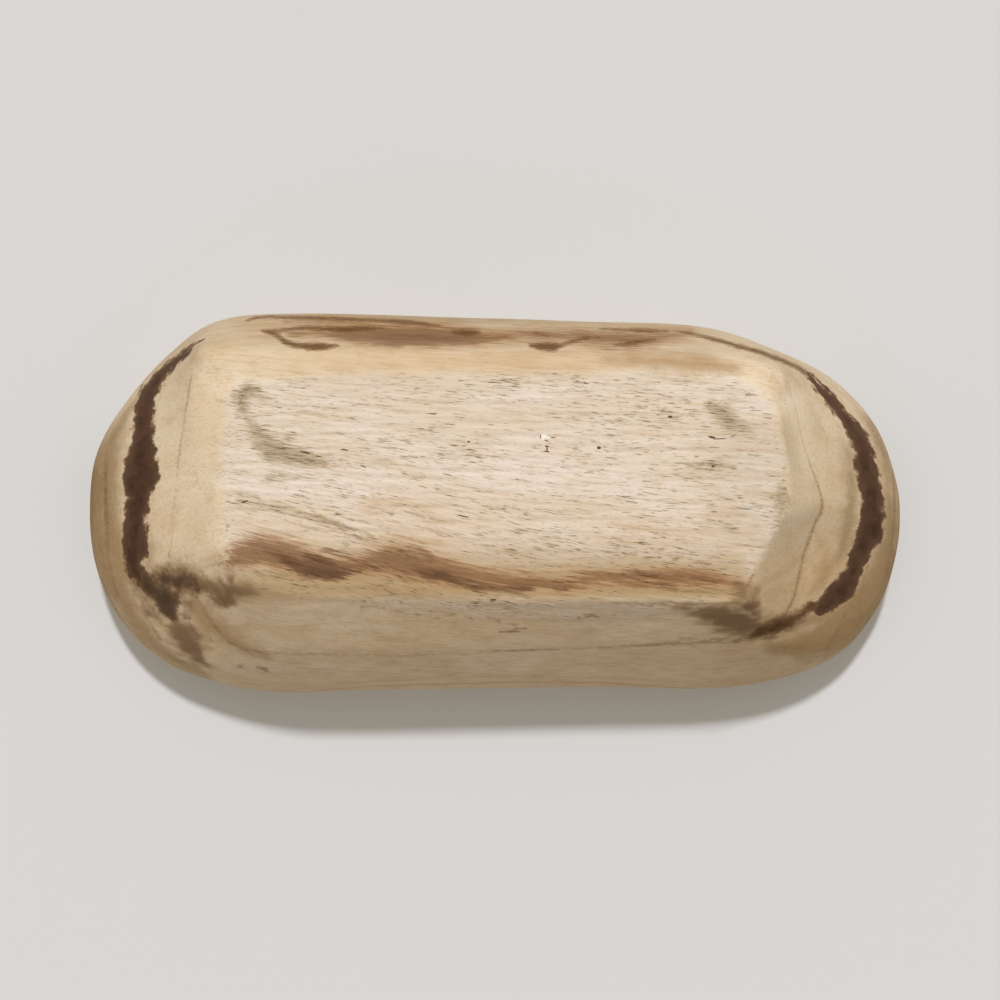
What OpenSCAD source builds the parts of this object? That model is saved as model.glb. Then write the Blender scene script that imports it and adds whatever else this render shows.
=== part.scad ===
// Hand-carved dough bowl, cut from one block of pale wood, in millimetres.
// The long axis lies along X, the hollow opens upwards, and the sawn base rests on z = 0.
// From the base, an adzed chamfer leads up to an edge, and from that edge the wall swells
// to its widest line, the belly, just under the rounded rim. Inside is one smooth basin.

/* [Bowl] */
// Length over the two ends, at the belly
bowl_len = 254; // [236:1:300]
// Width over the two sides, at the belly
bowl_w = 119; // [112:1:150]
// Height from the base to the top of the rim
bowl_h = 62; // [54:1:80]

/* [Base] */
// Length of the flat sawn base
base_len = 165; // [130:1:176]
// Width of the flat sawn base
base_w = 67; // [50:1:76]
// How far the middle of the base lies from the middle of the bowl, along X
base_off_x = 3; // [-4:0.5:6]
// How far the middle of the base lies from the middle of the bowl, along Y
base_off_y = -0.5; // [-3:0.5:3]

/* [Chamfer] */
// Length of the edge where the chamfer round the base meets the wall
edge_len = 194; // [180:1:214]
// Width of that edge
edge_w = 91; // [82:1:102]
// Height of that edge above the base, halfway across the bowl
edge_h = 12; // [10:0.5:18]
// How much higher that edge lies on the +Y side than halfway across, and lower on the -Y side
edge_rise = 8; // [0:0.5:9]
// How far the middle of that edge lies from the middle of the bowl, along X
edge_off_x = 0; // [-4:0.5:4]
// How far the middle of that edge lies from the middle of the bowl, along Y
edge_off_y = 2.5; // [-3:0.5:3]

/* [Wall and rim] */
// How far the belly, the widest line of the wall, lies below the top of the rim
belly_drop = 13; // [7:0.5:20]
// How far the wall leans back in between the belly and the rim
rim_lean = 0.8; // [0:0.1:2]
// Thickness of the wall at the rim
rim_wall = 9; // [7.5:0.5:12]
// Radius of the rim's outer corner
rim_out_r = 4; // [2:0.5:5.5]
// Radius of the rim's inner corner
rim_in_r = 3; // [1:0.5:4.5]

/* [Basin] */
// Thickness of the wood between the basin and the base
floor_t = 11; // [8:0.5:15]

/* [Smoothness] */
// Flats between two neighbouring points of an outline
flats = 4; // [2:1:5]
// Steps of the wall from the edge up to the belly
wall_steps = 8; // [4:1:12]
// Steps of each rounded corner of the rim
corner_steps = 4; // [2:1:6]
// Steps of the basin from the rim down to the middle of its floor
basin_steps = 10; // [6:1:16]

/* [Hidden] */

// How straight the wall leaves the edge: 0 for a bulge that starts flat, 1 for one that starts steep
wall_swell_share = 0.72;
// How square the basin's section is: 1 for an ellipse, above it for steeper sides and a flatter floor
basin_square_share = 1.15;
// How far the block runs on below the base before it is sawn flat
saw_over = 1;

belly_h = bowl_h - belly_drop;
basin_top = bowl_h - rim_in_r;

// The three carved outlines, as points in shares of their own half length and half width.
// They run the same way round from the +X end, so point i of each lies on the same tool stroke.
rim_shares = [
    [1.00, 0.10], [0.985, 0.315], [0.945, 0.545], [0.86, 0.775], [0.735, 0.91], [0.55, 0.98],
    [0.26, 0.975], [-0.06, 0.985], [-0.355, 0.995], [-0.55, 1.00], [-0.69, 0.945], [-0.81, 0.845],
    [-0.91, 0.655], [-0.975, 0.39], [-1.00, 0.075], [-0.985, -0.24], [-0.915, -0.52], [-0.81, -0.77],
    [-0.68, -0.96], [-0.485, -1.00], [-0.14, -0.98], [0.21, -0.955], [0.50, -0.93], [0.68, -0.81],
    [0.83, -0.655], [0.94, -0.405], [0.99, -0.12],
];
edge_shares = [
    [1.00, 0.015], [0.97, 0.18], [0.94, 0.375], [0.91, 0.665], [0.83, 0.86], [0.63, 0.94],
    [0.32, 0.96], [-0.08, 0.985], [-0.45, 1.00], [-0.65, 0.98], [-0.79, 0.875], [-0.90, 0.655],
    [-0.975, 0.44], [-1.00, 0.30], [-0.98, 0.02], [-0.96, -0.30], [-0.935, -0.65], [-0.915, -0.87],
    [-0.85, -1.00], [-0.56, -1.00], [-0.165, -0.985], [0.26, -0.975], [0.605, -0.96], [0.85, -0.89],
    [0.905, -0.665], [0.935, -0.375], [0.975, -0.155],
];
base_shares = [
    [1.00, 0.15], [0.97, 0.325], [0.925, 0.505], [0.865, 0.825], [0.835, 0.985], [0.655, 1.00],
    [0.335, 0.99], [-0.12, 0.975], [-0.51, 0.965], [-0.74, 0.95], [-0.90, 0.87], [-0.96, 0.715],
    [-0.985, 0.525], [-0.995, 0.325], [-1.00, 0.105], [-0.99, -0.245], [-0.975, -0.55],
    [-0.945, -0.815], [-0.875, -0.975], [-0.64, -0.99], [-0.21, -0.99], [0.25, -1.00], [0.625, -1.00],
    [0.87, -0.92], [0.96, -0.685], [0.985, -0.42], [1.00, -0.115],
];
count = len(rim_shares) * flats;

// The point at t on the smooth closed curve through the points p, where t counts those points
function curve_point(p, t) =
    let (n = len(p), i = floor(t), u = t - i,
         a = p[(i + n - 1) % n], b = p[i % n], c = p[(i + 1) % n], d = p[(i + 2) % n])
    b + (c - a) * u / 2 + (2 * a - 5 * b + 4 * c - d) * u * u / 2
      + (3 * b - a - 3 * c + d) * u * u * u / 2;

// The curve through a table of shares, stretched to a length and a width round a middle point
function outline(shares, l, w, middle) =
    let (raw = [for (k = [0 : count - 1]) curve_point(shares, k / flats)],
         xs = [for (p = raw) p.x], ys = [for (p = raw) p.y],
         lo = [min(xs), min(ys)], hi = [max(xs), max(ys)])
    [for (p = raw)
        let (x_share = (p.x - lo.x) / (hi.x - lo.x) - 1 / 2,
             y_share = (p.y - lo.y) / (hi.y - lo.y) - 1 / 2)
        middle + [x_share * l, y_share * w]];

// An outline moved square to itself, inwards by the distance d
function inset(pts, d) =
    let (n = len(pts))
    [for (k = [0 : n - 1])
        let (run = pts[(k + 1) % n] - pts[(k + n - 1) % n])
        pts[k] + d * [-run.y, run.x] / norm(run)];

// A ring of the skin: an outline lifted to a height
function ring(pts, z) = [for (p = pts) [p.x, p.y, z]];

// A point of the wall at share s of its climb from the edge point e to the belly point b
function wall_point(e, b, s) =
    let (r = 1 - s, swell = [b.x, b.y, e.z + wall_swell_share * (b.z - e.z)])
    r * r * e + 2 * r * s * swell + s * s * b;

rim_line = outline(rim_shares, bowl_len, bowl_w, [0, 0]);
edge_line = outline(edge_shares, edge_len, edge_w, [edge_off_x, edge_off_y]);
base_line = outline(base_shares, base_len, base_w, [base_off_x, base_off_y]);
basin_line = inset(rim_line, rim_wall);

base_ring = ring(base_line, 0);
belly_ring = ring(rim_line, belly_h);
edge_ring = [for (p = edge_line) [p.x, p.y, edge_h + edge_rise * (p.y - edge_off_y) / (edge_w / 2)]];

// The chamfer, run on below the base in its own slope so that the saw cut leaves the base outline
chamfer_rings = [
    [for (k = [0 : count - 1])
        base_ring[k] - (edge_ring[k] - base_ring[k]) * saw_over / edge_ring[k].z],
    edge_ring,
];

// The wall from the edge up to the belly, on a curve that ends upright
wall_rings = [
    for (k = [1 : wall_steps])
        [for (i = [0 : count - 1]) wall_point(edge_ring[i], belly_ring[i], k / wall_steps)]
];

// The rim, from the end of its outer side over the top to the start of its inner side
rim_rings = concat(
    [for (k = [0 : corner_steps])
        let (a = 90 * k / corner_steps)
        ring(inset(rim_line, rim_lean + rim_out_r * (1 - cos(a))), bowl_h - rim_out_r * (1 - sin(a)))],
    [for (k = [0 : corner_steps])
        let (a = 90 * k / corner_steps)
        ring(inset(rim_line, rim_wall - rim_in_r * (1 - sin(a))), bowl_h - rim_in_r * (1 - cos(a)))]
);

// The basin, whose section is a squared ellipse from the rim down to the floor
basin_rings = [
    for (k = [1 : basin_steps - 1])
        let (a = 90 * k / basin_steps, reach = pow(cos(a), 1 / basin_square_share),
             fall = pow(sin(a), 1 / basin_square_share))
        ring([for (p = basin_line) p * reach], basin_top - fall * (basin_top - floor_t))
];

// A closed skin over stacked rings, shut by one face at the start and by a peak at the end
module skin(rings, peak) {
    n = len(rings[0]);
    last = len(rings) - 1;
    polyhedron(
        points = concat([for (r = rings) each r], [peak]),
        faces = concat(
            [[for (k = [0 : n - 1]) k]],
            [for (i = [0 : last - 1], k = [0 : n - 1])
                [i * n + k, (i + 1) * n + k, i * n + (k + 1) % n]],
            [for (i = [0 : last - 1], k = [0 : n - 1])
                [i * n + (k + 1) % n, (i + 1) * n + k, (i + 1) * n + (k + 1) % n]],
            [for (k = [0 : n - 1]) [last * n + k, (last + 1) * n, last * n + (k + 1) % n]]
        )
    );
}

// The whole bowl, sawn flat at the base
module bowl() {
    color("#dcc39a")
    difference() {
        skin(concat(chamfer_rings, wall_rings, rim_rings, basin_rings), [0, 0, floor_t]);
        translate([-bowl_len, -bowl_w, -2 * saw_over])
            cube([2 * bowl_len, 2 * bowl_w, 2 * saw_over]);
    }
}

bowl();
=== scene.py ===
# %% [markdown]
# This is the finish of a hand-carved dough bowl. The real bowl is one block of pale wood: a saw
# leaves the rough flat base, an adze takes the chamfer round it, and a scraper smooths the wall.
# One block means one closed skin, so the skin is made as a single mesh, dense enough for its relief.
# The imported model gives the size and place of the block, and everything else is fitted to that.

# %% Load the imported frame
import math

import bmesh
import bpy
import numpy as np
from mathutils import Matrix, Vector


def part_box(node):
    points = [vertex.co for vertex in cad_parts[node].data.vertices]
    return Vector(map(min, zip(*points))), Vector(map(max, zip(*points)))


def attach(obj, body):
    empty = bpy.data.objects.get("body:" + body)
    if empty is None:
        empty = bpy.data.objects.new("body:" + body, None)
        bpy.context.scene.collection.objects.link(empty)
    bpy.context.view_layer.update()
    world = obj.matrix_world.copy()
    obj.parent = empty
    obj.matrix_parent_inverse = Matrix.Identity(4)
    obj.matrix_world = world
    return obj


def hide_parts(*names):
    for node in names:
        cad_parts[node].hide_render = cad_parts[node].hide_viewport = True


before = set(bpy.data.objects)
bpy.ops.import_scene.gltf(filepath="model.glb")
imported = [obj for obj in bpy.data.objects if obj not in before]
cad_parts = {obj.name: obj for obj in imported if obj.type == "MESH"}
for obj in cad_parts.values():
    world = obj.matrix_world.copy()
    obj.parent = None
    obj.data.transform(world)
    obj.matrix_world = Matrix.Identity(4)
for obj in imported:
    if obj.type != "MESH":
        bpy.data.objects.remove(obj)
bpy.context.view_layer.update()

MM = 0.001
low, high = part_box("bowl")
bowl_len, bowl_w, bowl_h = (high - low) / MM
print("packed bowl, mm:", round(bowl_len, 1), round(bowl_w, 1), round(bowl_h, 1))

# %% [markdown]
# The camera comes first, because the stains are placed by what it sees. The photograph shows the
# bowl upside down, so here the camera looks up at the base from below, with +X to the right and
# +Y at the bottom of the picture. A long lens keeps the other views, which reuse it, well back.

# %% Camera at the photograph's viewing angle
IMAGE_PX = 1000
LENS_MM = 80.0
SENSOR_MM = 36.0
TILT = math.radians(4.0)
PX_PER_MM = 3.19
CENTRE_AT = np.array([1.6, -0.6, 49.0])


def new_object(name, data):
    """An object with its data, linked to the scene."""
    made = bpy.data.objects.new(name, data)
    bpy.context.scene.collection.objects.link(made)
    return made


focal_px = LENS_MM / SENSOR_MM * IMAGE_PX
picture_right = np.array([1.0, 0.0, 0.0])
picture_down = np.array([0.0, math.cos(TILT), math.sin(TILT)])
picture_depth = np.array([0.0, -math.sin(TILT), math.cos(TILT)])
camera_at = CENTRE_AT - picture_depth * focal_px / PX_PER_MM

camera_data = bpy.data.cameras.new("photo_camera")
camera_data.lens = LENS_MM
camera_data.sensor_width = SENSOR_MM
camera_data.clip_start = 0.01
camera_data.clip_end = 100
camera = new_object("photo_camera", camera_data)
turn = Matrix(np.column_stack([picture_right, -picture_down, -picture_depth]).tolist())
camera.matrix_world = Matrix.Translation(Vector(camera_at * MM)) @ turn.to_4x4()
bpy.context.scene.camera = camera
print("camera, mm:", camera_at.round(1))


# %% Where a point of the bowl falls in the photograph
def to_picture(points):
    """Pixels across and down, in the photograph's frame, for points in millimetres."""
    ray = points - camera_at
    depth = ray @ picture_depth
    across = IMAGE_PX / 2 + focal_px * (ray @ picture_right) / depth
    down = IMAGE_PX / 2 + focal_px * (ray @ picture_down) / depth
    return np.column_stack([across, down])


# %% [markdown]
# Three outlines carry the whole shape: the base, the edge where the chamfer meets the wall, and the
# belly under the rim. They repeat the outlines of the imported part, as shares of half a length and
# half a width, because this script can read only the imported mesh. Point i of each outline lies on
# the same stroke of the tool, so the skin between them is a set of straight or bent strokes.

# %% Outlines of the block
RIM_SHARES = [
    (1.00, 0.10), (0.985, 0.315), (0.945, 0.545), (0.86, 0.775), (0.735, 0.91), (0.55, 0.98),
    (0.26, 0.975), (-0.06, 0.985), (-0.355, 0.995), (-0.55, 1.00), (-0.69, 0.945), (-0.81, 0.845),
    (-0.91, 0.655), (-0.975, 0.39), (-1.00, 0.075), (-0.985, -0.24), (-0.915, -0.52), (-0.81, -0.77),
    (-0.68, -0.96), (-0.485, -1.00), (-0.14, -0.98), (0.21, -0.955), (0.50, -0.93), (0.68, -0.81),
    (0.83, -0.655), (0.94, -0.405), (0.99, -0.12),
]
EDGE_SHARES = [
    (1.00, 0.015), (0.97, 0.18), (0.94, 0.375), (0.91, 0.665), (0.83, 0.86), (0.63, 0.94),
    (0.32, 0.96), (-0.08, 0.985), (-0.45, 1.00), (-0.65, 0.98), (-0.79, 0.875), (-0.90, 0.655),
    (-0.975, 0.44), (-1.00, 0.30), (-0.98, 0.02), (-0.96, -0.30), (-0.935, -0.65), (-0.915, -0.87),
    (-0.85, -1.00), (-0.56, -1.00), (-0.165, -0.985), (0.26, -0.975), (0.605, -0.96), (0.85, -0.89),
    (0.905, -0.665), (0.935, -0.375), (0.975, -0.155),
]
BASE_SHARES = [
    (1.00, 0.15), (0.97, 0.325), (0.925, 0.505), (0.865, 0.825), (0.835, 0.985), (0.655, 1.00),
    (0.335, 0.99), (-0.12, 0.975), (-0.51, 0.965), (-0.74, 0.95), (-0.90, 0.87), (-0.96, 0.715),
    (-0.985, 0.525), (-0.995, 0.325), (-1.00, 0.105), (-0.99, -0.245), (-0.975, -0.55),
    (-0.945, -0.815), (-0.875, -0.975), (-0.64, -0.99), (-0.21, -0.99), (0.25, -1.00), (0.625, -1.00),
    (0.87, -0.92), (0.96, -0.685), (0.985, -0.42), (1.00, -0.115),
]
EDGE_W, EDGE_OFF, EDGE_H, EDGE_RISE = 91.0, (0.0, 2.5), 12.0, 8.0
BASE_OFF = (3.0, -0.5)
RIM = (RIM_SHARES, bowl_len, bowl_w, (0, 0))
EDGE = (EDGE_SHARES, 194.0, EDGE_W, EDGE_OFF)
BASE = (BASE_SHARES, 165.0, 67.0, BASE_OFF)
FLATS = 4


def curve_points(shares, where):
    """Points of the smooth closed curve through the shares, at the parameters in where."""
    table = np.array(shares)
    count = len(table)
    first = np.floor(where).astype(int)
    u = (where - first)[:, None]
    a, b, c, d = (table[(first + k) % count] for k in (-1, 0, 1, 2))
    bend = (2 * a - 5 * b + 4 * c - d) * u ** 2 + (3 * b - a - 3 * c + d) * u ** 3
    return b + (c - a) * u / 2 + bend / 2


def outline(shares, length, width, middle, where):
    """The curve stretched to a length and a width round a middle point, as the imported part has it."""
    packed = curve_points(shares, np.arange(len(shares) * FLATS) / FLATS)
    least, most = packed.min(axis=0), packed.max(axis=0)
    share = (curve_points(shares, where) - least) / (most - least) - 0.5
    return share * (length, width) + middle


# %% [markdown]
# The skin is a net of strokes that run from the base up the wall, over the rim and down into the
# basin. Where the strokes would crowd together, on the base and on the basin's floor, a rectangular
# grid takes over, so no pole is left. The grid's four corners sit at the corners of the base, and
# its cells are finer across the grain than along it, because the saw marks run along the grain.

# %% Strokes round the bowl
ALONG_CELLS = 150
ACROSS_CELLS = 120
CORNERS_AT = (4.0, 10.3, 17.8, 23.3)
STEPS_PER_POINT = 60


def stroke_parameters():
    """The curve parameter of every stroke: equal steps of length between two corners."""
    turns = len(RIM_SHARES)
    fine = np.arange(0, 2 * turns * STEPS_PER_POINT) / STEPS_PER_POINT
    mean_line = (outline(*BASE, fine) + outline(*RIM, fine)) / 2
    steps = np.linalg.norm(np.diff(mean_line, axis=0), axis=1)
    walked = np.concatenate([[0], np.cumsum(steps)])
    ends = list(CORNERS_AT) + [CORNERS_AT[0] + turns]
    places = []
    for side, cells in enumerate((ALONG_CELLS, ACROSS_CELLS, ALONG_CELLS, ACROSS_CELLS)):
        start, stop = np.interp(ends[side:side + 2], fine, walked)
        places.append(np.interp(np.linspace(start, stop, cells, endpoint=False), walked, fine))
    return np.concatenate(places) % turns


where = stroke_parameters()
strokes = len(where)
rim_line = outline(*RIM, where)
edge_line = outline(*EDGE, where)
base_line = outline(*BASE, where)
print("strokes round the bowl:", strokes)

# %% Rows of the skin, from the base to the rim
BELLY_DROP, RIM_LEAN, RIM_WALL = 13.0, 0.8, 9.0
RIM_OUT_R, RIM_IN_R = 4.0, 3.0
FLOOR_T = 11.0
WALL_SWELL_SHARE = 0.72
BASIN_SQUARE_SHARE = 1.15
BASE_MARGIN_SHARE = 0.07
ROWS = {"margin": 5, "chamfer": 15, "wall": 34, "neck": 7, "lip_out": 6, "lip_top": 2, "lip_in": 5}


def inset(line, distance):
    """A closed line moved square to itself, inwards."""
    run = np.roll(line, -1, axis=0) - np.roll(line, 1, axis=0)
    normal = np.column_stack([-run[:, 1], run[:, 0]])
    return line + distance * normal / np.linalg.norm(normal, axis=1)[:, None]


def ring(line, height):
    """A line lifted to one height, or to a height for each of its points."""
    return np.column_stack([line, np.broadcast_to(height, len(line))])


def rows_between(start, stop, count):
    """Rows from start up to, but not with, stop."""
    return [start + (stop - start) * k / count for k in range(count)]


belly_h = bowl_h - BELLY_DROP
basin_top = bowl_h - RIM_IN_R
base_ring = ring(base_line, 0)
base_middle = np.array([BASE_OFF[0], BASE_OFF[1], 0.0])
margin_ring = base_ring + BASE_MARGIN_SHARE * (base_middle - base_ring)
edge_ring = ring(edge_line, EDGE_H + EDGE_RISE * (edge_line[:, 1] - EDGE_OFF[1]) / (EDGE_W / 2))
belly_ring = ring(rim_line, belly_h)
swell_ring = belly_ring.copy()
swell_ring[:, 2] = edge_ring[:, 2] + WALL_SWELL_SHARE * (belly_h - edge_ring[:, 2])

rows = rows_between(margin_ring, base_ring, ROWS["margin"])
base_row = len(rows)
rows += rows_between(base_ring, edge_ring, ROWS["chamfer"])
edge_row = len(rows)
for k in range(ROWS["wall"]):
    s = k / ROWS["wall"]
    rows.append((1 - s) ** 2 * edge_ring + 2 * (1 - s) * s * swell_ring + s ** 2 * belly_ring)
belly_row = len(rows)
lip_start = ring(inset(rim_line, RIM_LEAN), bowl_h - RIM_OUT_R)
rows += rows_between(belly_ring, lip_start, ROWS["neck"])
for k in range(ROWS["lip_out"]):
    a = math.pi / 2 * k / ROWS["lip_out"]
    in_by = RIM_LEAN + RIM_OUT_R * (1 - math.cos(a))
    rows.append(ring(inset(rim_line, in_by), bowl_h - RIM_OUT_R * (1 - math.sin(a))))
lip_outer = ring(inset(rim_line, RIM_LEAN + RIM_OUT_R), bowl_h)
lip_inner = ring(inset(rim_line, RIM_WALL - RIM_IN_R), bowl_h)
rows += rows_between(lip_outer, lip_inner, ROWS["lip_top"])
for k in range(ROWS["lip_in"]):
    a = math.pi / 2 * k / ROWS["lip_in"]
    in_by = RIM_WALL - RIM_IN_R * (1 - math.sin(a))
    rows.append(ring(inset(rim_line, in_by), bowl_h - RIM_IN_R * (1 - math.cos(a))))
basin_row = len(rows)
print("rows from the base to the basin:", basin_row)

# %% Rows of the basin, down to where the floor's grid takes over
BASIN_ROWS = 26
FLOOR_GRID_SHARE = 0.62
PROFILE_STEPS = 2000
basin_line = inset(rim_line, RIM_WALL)


def basin_height(share):
    """Height of the basin where its outline has shrunk to a share: a squared ellipse."""
    power = 2 * BASIN_SQUARE_SHARE
    fall = np.maximum(1 - np.asarray(share, float) ** power, 0) ** (1 / power)
    return basin_top - fall * (basin_top - FLOOR_T)


def walked_down(shares):
    """Millimetres walked down the side of the basin to each share of its outline."""
    run = np.hypot(np.diff(shares) * bowl_w / 2, np.diff(basin_height(shares)))
    return np.concatenate([[0], np.cumsum(run)])


fine_share = 1 - (1 - FLOOR_GRID_SHARE) * (np.arange(PROFILE_STEPS + 1) / PROFILE_STEPS) ** 2
side_walked = walked_down(fine_share)
even_steps = np.linspace(0, side_walked[-1], BASIN_ROWS + 1)
basin_shares = np.interp(even_steps, side_walked, fine_share)
rows += [ring(basin_line * share, basin_height(share)) for share in basin_shares]
skin = np.array(rows)
print("rows in all:", len(skin))

# %% [markdown]
# A carved edge is never a knife edge: the scraper breaks it. The rows next to the base's edge and
# to the chamfer's edge are eased towards their neighbours a few times, which rounds both by a
# millimetre or two. Some stretches were cut last and stay crisp, so each outline has a table that
# says, point by point, how crisp its edge is, from 0 to 1.

# %% Ease the two carved edges
EASE_PASSES, EASE_SHARE, EASE_ROWS = 14, 0.5, 1.7
EDGE_CRISP = [
    1.0, 1.0, 0.9, 0.9, 0.7, 0.55, 0.45, 0.4, 0.4, 0.5, 0.8, 0.9, 0.8, 0.6, 0.5, 0.45, 0.45, 0.25,
    0.0, 0.0, 0.0, 0.0, 0.1, 0.45, 0.55, 0.6, 0.8,
]
BASE_CRISP = [
    0.7, 0.9, 0.95, 0.95, 0.9, 0.85, 0.7, 0.5, 0.4, 0.25, 0.1, 0.0, 0.0, 0.0, 0.0, 0.0, 0.0, 0.0,
    0.0, 0.0, 0.0, 0.0, 0.0, 0.1, 0.3, 0.4, 0.5,
]
CRISPNESS = 0.85


def at_strokes(table):
    """A table with one value for each point of an outline, read off at every stroke."""
    return np.interp(where, np.arange(len(table) + 1), table + table[:1])


edge_crisp = at_strokes(EDGE_CRISP)
row_number = np.arange(len(skin))
ease = 0
for row, crisp in ((base_row, at_strokes(BASE_CRISP)), (edge_row, edge_crisp)):
    near_row = np.exp(-((row_number - row) / EASE_ROWS) ** 2)
    ease = ease + np.outer(near_row, 1 - CRISPNESS * crisp)
for _ in range(EASE_PASSES):
    between = (skin[:-2] + skin[2:]) / 2
    skin[1:-1] += ease[1:-1, :, None] * EASE_SHARE * (between - skin[1:-1])
print("most that an edge moved, mm:", round(float(skin[base_row, :, 2].max()), 2))


# %% Fill the base and the floor with a grid
def grid_fill(border, middle):
    """Points and border numbers of a grid that fills a closed border with the same corners."""
    i, j = np.meshgrid(np.arange(1, ALONG_CELLS), np.arange(1, ACROSS_CELLS), indexing="ij")
    a = 1 - 2 * i / ALONG_CELLS
    b = 1 - 2 * j / ACROSS_CELLS
    reach = np.maximum(np.maximum(abs(a), abs(b)), 1e-9)
    on_a, on_b = a / reach, b / reach
    sides = [(abs(b) >= abs(a)) & (b >= 0), (abs(a) > abs(b)) & (a < 0), (abs(b) >= abs(a)) & (b < 0)]
    starts = [0, ALONG_CELLS, ALONG_CELLS + ACROSS_CELLS]
    steps = [(1 - on_a) / 2 * ALONG_CELLS, (1 - on_b) / 2 * ACROSS_CELLS, (1 + on_a) / 2 * ALONG_CELLS]
    last = 2 * ALONG_CELLS + ACROSS_CELLS + (1 + on_b) / 2 * ACROSS_CELLS
    around = np.select(sides, [s + t for s, t in zip(starts, steps)], last)
    first = np.floor(around).astype(int) % len(border)
    part = (around - np.floor(around))[..., None]
    edge = border[first] * (1 - part) + border[(first + 1) % len(border)] * part
    points = middle + reach[..., None] * (edge - middle)
    return points, reach, around


base_grid, _, _ = grid_fill(skin[0], base_middle)
base_grid[..., 2] = 0
floor_grid, floor_reach, floor_around = grid_fill(skin[-1], np.array([0.0, 0.0, 0.0]))
floor_grid[..., 2] = basin_height(floor_reach * basin_shares[-1])
print("grid points on the base and on the floor:", base_grid[..., 0].size, floor_grid[..., 0].size)


# %% Join the rows and the two grids into one closed mesh
def grid_numbers(border_start, grid_start):
    """Vertex numbers of a filled grid, with the border's own vertices round it."""
    numbers = np.zeros((ALONG_CELLS + 1, ACROSS_CELLS + 1), int)
    border = border_start + np.arange(strokes)
    numbers[:, 0] = border[:ALONG_CELLS + 1]
    numbers[-1, :] = border[ALONG_CELLS:ALONG_CELLS + ACROSS_CELLS + 1]
    numbers[:, -1] = border[ALONG_CELLS + ACROSS_CELLS:2 * ALONG_CELLS + ACROSS_CELLS + 1][::-1]
    numbers[0, 1:] = border[-np.arange(1, ACROSS_CELLS + 1)]
    inner = (ALONG_CELLS - 1) * (ACROSS_CELLS - 1)
    numbers[1:-1, 1:-1] = grid_start + np.arange(inner).reshape(ALONG_CELLS - 1, ACROSS_CELLS - 1)
    return numbers


def grid_faces(numbers):
    """Four-sided faces of a grid of vertex numbers."""
    corners = [numbers[:-1, :-1], numbers[1:, :-1], numbers[1:, 1:], numbers[:-1, 1:]]
    return np.stack(corners, axis=-1).reshape(-1, 4)


skin_points = skin.reshape(-1, 3)
points = np.concatenate([skin_points, base_grid.reshape(-1, 3), floor_grid.reshape(-1, 3)])
numbers = np.arange(len(skin_points)).reshape(len(skin), strokes)
wrapped = np.concatenate([numbers, numbers[:, :1]], axis=1)
side_faces = grid_faces(wrapped)[:, ::-1]
base_numbers = grid_numbers(0, len(skin_points))
floor_numbers = grid_numbers(numbers[-1, 0], len(skin_points) + base_grid[..., 0].size)
faces = np.concatenate([side_faces, grid_faces(base_numbers)[:, ::-1], grid_faces(floor_numbers)])
print("points:", len(points), "faces:", len(faces))


# %% [markdown]
# Hand work leaves low relief, and it has to be in the mesh, because a bump map is lost in silhouette
# and in other programs. Each tool leaves its own: the saw tears long shallow furrows along the grain,
# the adze and the scraper leave broad soft waves, and the gouge leaves rows of dished cuts in the
# basin. All of it is cut into the block and never raised, so the bowl keeps its measured size.

# %% Smooth waves in three dimensions
SHORTEST_SHARE, LONGEST_SHARE = 0.6, 1.6


def waves(at, lengths, count, seed):
    """Random smooth relief of about one in height, whose waves have the given lengths along X, Y, Z."""
    draw = np.random.default_rng(seed)
    total = np.zeros(len(at))
    for _ in range(count):
        heading = draw.normal(size=3)
        heading /= np.linalg.norm(heading)
        pace = 2 * math.pi * heading / np.array(lengths) * draw.uniform(SHORTEST_SHARE, LONGEST_SHARE)
        total += np.sin(at @ pace + draw.uniform(0, 2 * math.pi))
    return total * math.sqrt(2 / count)


# %% Where each tool worked
# The base's grid counts as a row before the first one, and the floor's grid as a row after the last.
base_count, floor_count = base_grid[..., 0].size, floor_grid[..., 0].size
row_of_point = np.concatenate([
    np.repeat(row_number, strokes), np.full(base_count, -1), np.full(floor_count, len(skin))])
is_basin = row_of_point >= basin_row
is_outer = row_of_point <= belly_row
picture = to_picture(points)
print("points in the basin:", int(is_basin.sum()), "and on the outer skin:", int(is_outer.sum()))

# %% The sawn face, drawn on the photograph
SAWN_FACE_PX = [
    (228, 392), (242, 380), (330, 374), (450, 373), (600, 372), (700, 374), (752, 384), (772, 405),
    (782, 440), (786, 495), (778, 528), (752, 580), (742, 600), (690, 612), (600, 622), (520, 620),
    (450, 612), (380, 606), (300, 600), (256, 590), (232, 570), (222, 520), (220, 450),
]
SAWN_FADE_MM = 5.0


def side_of(at, loop):
    """Distance in pixels from a closed loop, positive inside it."""
    corners = np.array(loop, float)
    nearest = np.full(len(at), 1e9)
    inside = np.zeros(len(at), bool)
    for start, stop in zip(corners, np.roll(corners, -1, axis=0)):
        run = stop - start
        part = np.clip(((at - start) @ run) / (run @ run), 0, 1)
        nearest = np.minimum(nearest, np.linalg.norm(at - start - part[:, None] * run, axis=1))
        crosses = (start[1] > at[:, 1]) != (stop[1] > at[:, 1])
        climb = run[1] if run[1] else 1e-9
        inside ^= crosses & (at[:, 0] < start[0] + (at[:, 1] - start[1]) * run[0] / climb)
    return np.where(inside, nearest, -nearest)


sawn_mm = np.where(is_outer, side_of(picture, SAWN_FACE_PX) / PX_PER_MM, -SAWN_FADE_MM)
sawn = np.clip(0.5 + sawn_mm / SAWN_FADE_MM, 0, 1)
print("sawn points:", int((sawn > 0.5).sum()))

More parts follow.
